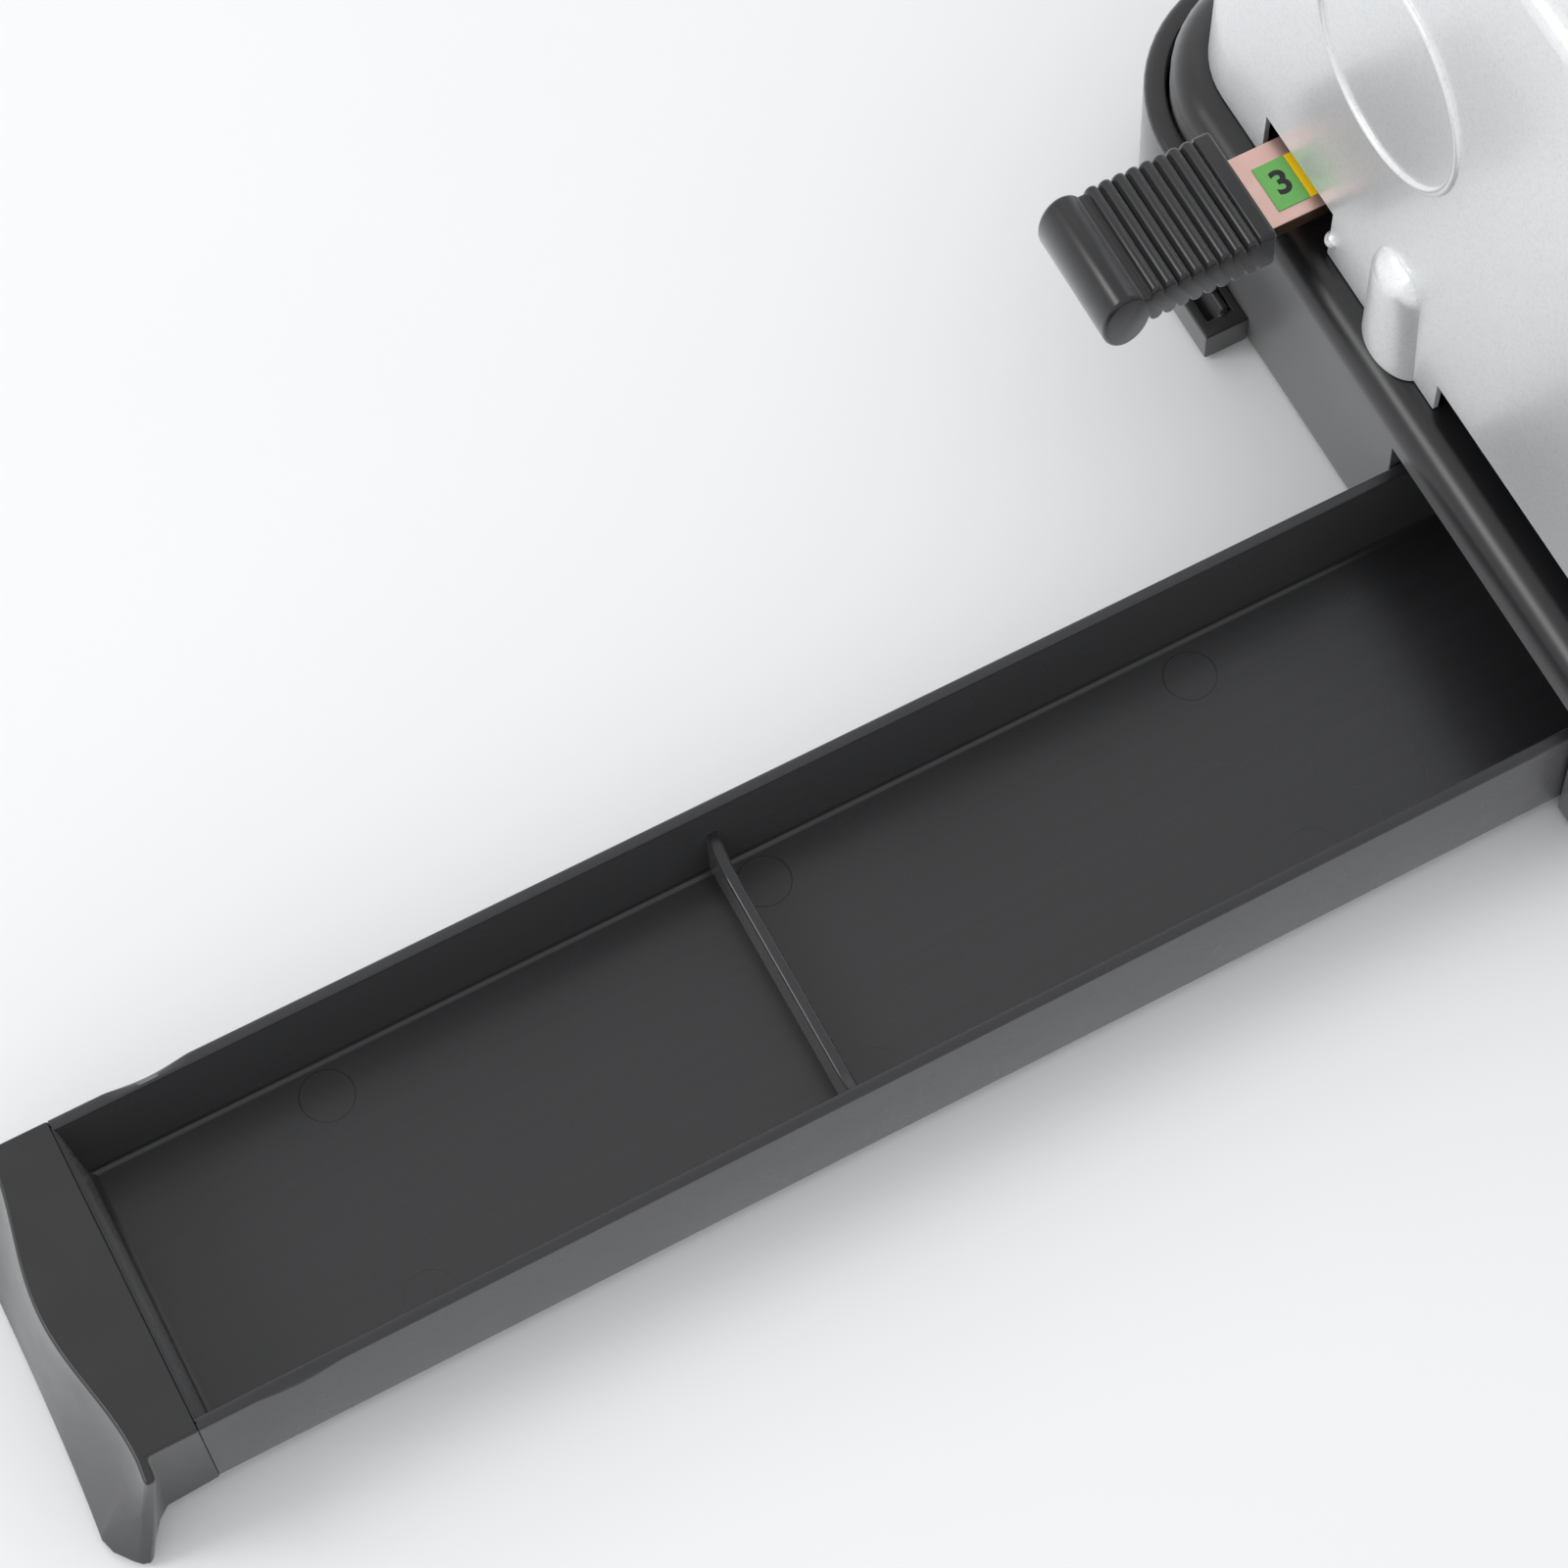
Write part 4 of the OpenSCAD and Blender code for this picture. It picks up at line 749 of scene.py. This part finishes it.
black_ink = film("black_label_ink", "#141616")
for k, (label_name, digit, ink) in enumerate(zip(label_names, digits, ("#6cb35c", "#ffd21c", "#cf5b47"))):
    x0, x1 = label_edges[k]
    u = np.array([0, 1, 1, 0])
    v = np.array([0, 0, 1, 1])
    y_lo = label_lo[1]
    y_hi = label_hi[1]
    loops = [np.stack([x0 + (x1 - x0) * u, y_lo + (y_hi - y_lo) * v, np.full(4, z)], -1)
             for z in (label_lo[2] + 0.01, label_hi[2] - 0.02)]
    paper = piece("label_" + label_name, [quads(np.array(loops))], film("film_" + label_name, ink))
    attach(paper, "selector")
    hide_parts("selector_labels")
    text = bpy.data.curves.new("digit", "FONT")
    text.body = digit
    text.size = digit_size
    text.align_x = "CENTER"
    text.align_y = "CENTER"
    text.offset = digit_bold
    text.extrude = ink_thick
    holder = bpy.data.objects.new("holder", text)
    bpy.context.scene.collection.objects.link(holder)
    bpy.context.view_layer.update()
    mesh = bpy.data.meshes.new_from_object(holder.evaluated_get(bpy.context.evaluated_depsgraph_get()))
    bpy.data.objects.remove(holder)
    bm = bmesh.new()
    bm.from_mesh(mesh)
    bmesh.ops.remove_doubles(bm, verts=bm.verts, dist=1e-7)
    bmesh.ops.translate(bm, verts=bm.verts, vec=((x0 + x1) / 2000 + digit_shift, (y_lo + y_hi) / 2000,
                                                 label_hi[2] / 1000 - ink_thick))
    bm.to_mesh(mesh)
    bm.free()
    mesh.materials.clear()
    mesh.materials.append(black_ink)
    number = bpy.data.objects.new("digit_" + label_name, mesh)
    bpy.context.scene.collection.objects.link(number)
    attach(number, "selector")

# The grip's section runs along X: an oval bulb, a groove, eight half-round ribs on both faces and a
# smooth band at the bar.
grip_lo, grip_hi = span("selector_grip")
bar_mid = 1.5
grip_z = bar_hi[2] - bar_mid
bulb_w = 3.8
bulb_h = 6.2
bulb_drop = 1.2
rib_pitch = 2.25
ribs = 8
band = 2.8
half_t = 4.25
rib_root = 2.9
rib_share = 0.8 ** 0.5
grip_edge_r = 0.7
band_edge_r = 0.5
band_low = 0.1


def grip_edge(x, side):
    """Height of the grip's upper (side 1) or lower (side -1) face at x: the bulb's oval, or beyond it a row
    of half-round ribs standing on a thinner body, and then the smooth band."""
    across = (x - grip_lo[0] - bulb_w) / bulb_w
    bulb = side * bulb_h * np.sqrt(np.clip(1 - across ** 2, 0, None)) - bulb_drop
    from_band = (grip_hi[0] - band - x) / rib_pitch
    phase = from_band % 1
    lift = np.sqrt(np.clip(1 - (2 * phase - 1) ** 2 / rib_share ** 2, 0, None))
    body = rib_root + (half_t - rib_root) * np.where((from_band > 0) & (from_band < ribs), lift, 0)
    to_end = np.clip((x - grip_hi[0] + grip_edge_r) / grip_edge_r, 0, 1)
    to_rib = np.clip((grip_hi[0] - band + band_edge_r - x) / band_edge_r, 0, 1)
    smooth_band = half_t - band_low - grip_edge_r * (1 - np.sqrt(1 - to_end ** 2))
    smooth_band = smooth_band - band_edge_r * (1 - np.sqrt(1 - to_rib ** 2))
    body = side * np.where(from_band > 0, body, smooth_band)
    joined = np.maximum(bulb, body) if side > 0 else np.minimum(bulb, body)
    return np.where(x < grip_lo[0] + bulb_w, bulb, joined)


x = np.concatenate([grip_lo[0] + bulb_w * (1 - np.cos(np.linspace(0, np.pi / 2, 14))),
                    np.linspace(grip_lo[0] + bulb_w + 0.1, grip_hi[0], 260)])
upper = np.stack([x, grip_z + grip_edge(x, 1)], -1)
lower = np.stack([x, grip_z + grip_edge(x, -1)], -1)[::-1]
outline = np.concatenate([upper, lower[:-1]])
outline = outline[np.insert(np.linalg.norm(np.diff(outline, axis=0), axis=1) > 1e-4, 0, True)]
core = np.column_stack([np.clip(outline[:, 0], grip_lo[0] + bulb_w, grip_hi[0] - 2),
                        grip_z - bulb_drop * np.clip(2 - (outline[:, 0] - grip_lo[0]) / bulb_w, 0, 1)])
y_rows = [(grip_lo[1] + grip_edge_r * (1 - math.cos(a)), grip_edge_r * (1 - math.sin(a)))
          for a in np.radians((0, 22, 45, 67, 90))]
y_rows += [(grip_lo[1] + grip_hi[1] - y, inset) for y, inset in reversed(y_rows)]
rows = []
for y, inset in y_rows:
    reach = np.linalg.norm(outline - core, axis=1)[:, None]
    shape = outline - (outline - core) / np.clip(reach, 0.5, None) * inset
    rows.append(np.column_stack([shape[:, 0], np.full(len(shape), y), shape[:, 1]]))
finger_grip = piece("finger_grip", [quads(np.array(rows))], black_abs, sharp=70)
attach(finger_grip, "selector")
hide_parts("selector_grip")


# ------------------------------------------------------------------ lever and handle
# Silver-lacquered steel arm in a black moulded hub on the right end, with a rubber grip across the
# machine on a steel rod.
def metal(name, dark, light, roughness, grain_mm, stretch_x=1.0, metallic=1.0):
    """Metal finish: two tones mixed by a drawn or ground grain, which is also a faint bump, and a gloss that
    wanders a little over the piece."""
    made, shader = material(name)
    place = add(made, "TexCoord", {})
    along = add(made, "Mapping", {"Scale": (stretch_x, 1, 1)}, [("Vector", place.outputs["Object"])])
    grain = add(made, "TexNoise", {"Scale": per_mm(grain_mm), "Detail": 3}, [("Vector", along.outputs[0])])
    cloud = add(made, "TexNoise", {"Scale": per_mm(14), "Detail": 3}, [("Vector", place.outputs["Object"])])
    tone = add(made, "Mix", {"data_type": "RGBA", 6: linear(dark), 7: linear(light)},
               [(0, grain.outputs["Fac"])])
    gloss = add(made, "MapRange", {"From Min": 0.3, "From Max": 0.7, "To Min": roughness - 0.06,
                                   "To Max": roughness + 0.06}, [("Value", cloud.outputs["Fac"])])
    relief = add(made, "Bump", {"Strength": 0.2, "Distance": 0.00003}, [("Height", grain.outputs["Fac"])])
    join(made, tone.outputs[2], shader.inputs["Base Color"])
    join(made, gloss.outputs[0], shader.inputs["Roughness"])
    join(made, relief.outputs[0], shader.inputs["Normal"])
    shader.inputs["Metallic"].default_value = metallic
    return made


# Silver lacquer on flat steel bar: pale and even, with a softer glint than bare metal.
lever_lacquer = metal("silver_lacquered_steel", "#b2b5b7", "#c6c8ca", 0.34, 0.35, metallic=0.7)
# Hardened steel, surface ground along its length: bright, with fine lines that stretch the highlights.
ground_steel = metal("ground_steel", "#b4b6b9", "#d0d2d4", 0.24, 0.25, stretch_x=0.08)
# Black oxide on steel screws: nearly black, with a dull oily sheen.
black_oxide = metal("black_oxide_steel", "#1b1c1e", "#2b2c2e", 0.42, 0.3)

# Moulded rubber: a porous skin with almost no highlight, so that only its rings show its shape.
grip_rubber, shader = material("moulded_rubber")
place = add(grip_rubber, "TexCoord", {})
pores = add(grip_rubber, "TexNoise", {"Scale": per_mm(0.6), "Detail": 3},
            [("Vector", place.outputs["Object"])])
tone = add(grip_rubber, "Mix", {"data_type": "RGBA", 6: linear("#1b1b1c"), 7: linear("#28282a")},
           [(0, pores.outputs["Fac"])])
grain = add(grip_rubber, "Bump", {"Strength": 0.4, "Distance": 0.00006}, [("Height", pores.outputs["Fac"])])
join(grip_rubber, tone.outputs[2], shader.inputs["Base Color"])
join(grip_rubber, grain.outputs[0], shader.inputs["Normal"])
shader.inputs["Roughness"].default_value = 0.68

for node_name, piece_name, finish, slot_name, edge in (
        ("lever_arm", "steel_arm", lever_lacquer, "lever_steel", 1.6),
        ("lever_hub", "moulded_hub", textured_abs, "textured_abs", 1.5),
        ("hub_screw", "hub_screw_head", black_oxide, "black_screw", 0.6),
        ("handle_rod", "steel_rod", ground_steel, "ground_steel", 0.5)):
    made = dressed(node_name, piece_name, finish, edge, angle=40)
    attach(made, "lever")
    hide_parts(node_name)


def turned(centre, stations, sides=72):
    """Surface of revolution round a line along X: each station is (x, radius)."""
    a = np.linspace(0, 2 * np.pi, sides + 1)[:-1]
    return np.array([np.column_stack([np.full(sides, x), centre[1] + r * np.cos(a),
                                      centre[2] + r * np.sin(a)]) for x, r in stations])


sleeve_lo, sleeve_hi = span("handle_grip")
rod_centre = (sleeve_lo + sleeve_hi) / 2
sleeve_r = (sleeve_hi[1] - sleeve_lo[1]) / 2
sleeve_bore = 6.05
lip_r = 2
end_margin = 10
ring_pitch = 6
groove = ((1.3, 0), (0.9, 0.15), (0.6, 0.8), (0, 1.0), (-0.6, 0.8), (-0.9, 0.15), (-1.3, 0))
count = int((sleeve_hi[0] - sleeve_lo[0] - end_margin) / ring_pitch)
profile = [(sleeve_hi[0] - 0.01, sleeve_bore), (sleeve_hi[0], sleeve_r - 2.2)]
profile += [(sleeve_hi[0] - lip_r * (1 - math.cos(a)), sleeve_r - lip_r * (1 - math.sin(a)))
            for a in np.radians((0, 30, 60, 90))]
for k in range(count):
    mid = sleeve_hi[0] - 8 - k * ring_pitch
    profile += [(mid + dx, sleeve_r - dr) for dx, dr in groove]
profile += [(sleeve_lo[0] + 0.6, sleeve_r), (sleeve_lo[0], sleeve_r - 0.6)]
profile += [(sleeve_lo[0] + 0.01, sleeve_bore)]
sleeve = piece("rubber_sleeve", [quads(turned(rod_centre, profile))], grip_rubber, sharp=50)
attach(sleeve, "lever")
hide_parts("handle_grip")

end_lo, end_hi = span("handle_end_cap")
dome_x = end_hi[0] - 3
profile = [(end_hi[0], sleeve_r - 0.9)]
profile += [(dome_x - (dome_x - end_lo[0]) * math.sin(a), (sleeve_r - 0.5) * (0.35 + 0.65 * math.cos(a)))
            for a in np.radians(np.linspace(0, 90, 10))]
knob = piece("sleeve_end", [quads(turned(rod_centre, profile))], grip_rubber, sharp=50)
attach(knob, "lever")
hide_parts("handle_end_cap")


# ------------------------------------------------------------------ feet, floor plate and screws
# Moulded rubber feet press into a zinc-plated floor plate, which closes the housing from below and is held
# by black screws. The hood's screws, the ground die and the pin guide are fixed to the same base.
# Bright zinc plate on pressed sheet: bluish grey and slightly cloudy.
zinc = metal("bright_zinc_plate", "#a3a8ac", "#c2c7ca", 0.33, 0.6)

for node_name, piece_name, finish, slot_name, edge in (
        ("rubber_feet", "rubber_pads", grip_rubber, "foot_rubber", 0.3),
        ("bottom_plate", "floor_plate", zinc, "zinc_plate", 0.2),
        ("bottom_screws", "floor_screws", black_oxide, "black_screw", 0.2),
        ("cover_screws", "cover_screw_heads", black_oxide, "black_screw", 0.4),
        ("die_bar", "ground_die", ground_steel, "ground_steel", 0.15),
        ("guide_block", "pin_guide", ground_steel, "ground_steel", 0.3)):
    made = dressed(node_name, piece_name, finish, edge, angle=40)
    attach(made, "base")
    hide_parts(node_name)


# ------------------------------------------------------------------ mechanism inside the cover
# Pressed and ground steel parts, sintered bushes and a nylon saddle, screwed and pinned together. They keep
# their CAD shapes and take the finish of their material slot.
# Drawn spring wire: mid grey, with fine drawing lines.
spring_steel = metal("drawn_spring_wire", "#8c8e90", "#acaeb0", 0.3, 0.2)
# Sintered bronze: brown, and dull because it is porous and holds oil.
bronze = metal("sintered_bronze", "#9a7748", "#b08d57", 0.45, 0.5)
# Natural nylon, machined: milky cream with a slight haze.
nylon, shader = material("natural_nylon")
place = add(nylon, "TexCoord", {})
haze = add(nylon, "TexNoise", {"Scale": per_mm(4), "Detail": 2}, [("Vector", place.outputs["Object"])])
tone = add(nylon, "Mix", {"data_type": "RGBA", 6: linear("#dedbd2"), 7: linear("#ebe8e0")},
           [(0, haze.outputs["Fac"])])
join(nylon, tone.outputs[2], shader.inputs["Base Color"])
shader.inputs["Roughness"].default_value = 0.5

finishes = {"black_abs": black_abs, "zinc_plate": zinc, "ground_steel": ground_steel,
            "spring_steel": spring_steel, "bronze": bronze, "nylon": nylon, "black_screw": black_oxide,
            "foot_rubber": grip_rubber, "silver_paint": silver, "tray_abs": tray_abs,
            "textured_abs": textured_abs, "grip_abs": black_abs, "copper_bar": copper,
            "label_print": black_ink, "lever_steel": lever_lacquer, "grip_rubber": grip_rubber}
for part in frame["record"]["subparts"]:
    mesh = frame["nodes"][part["node"]].data
    mesh.materials.clear()
    mesh.materials.append(finishes[part["material_slot"]])
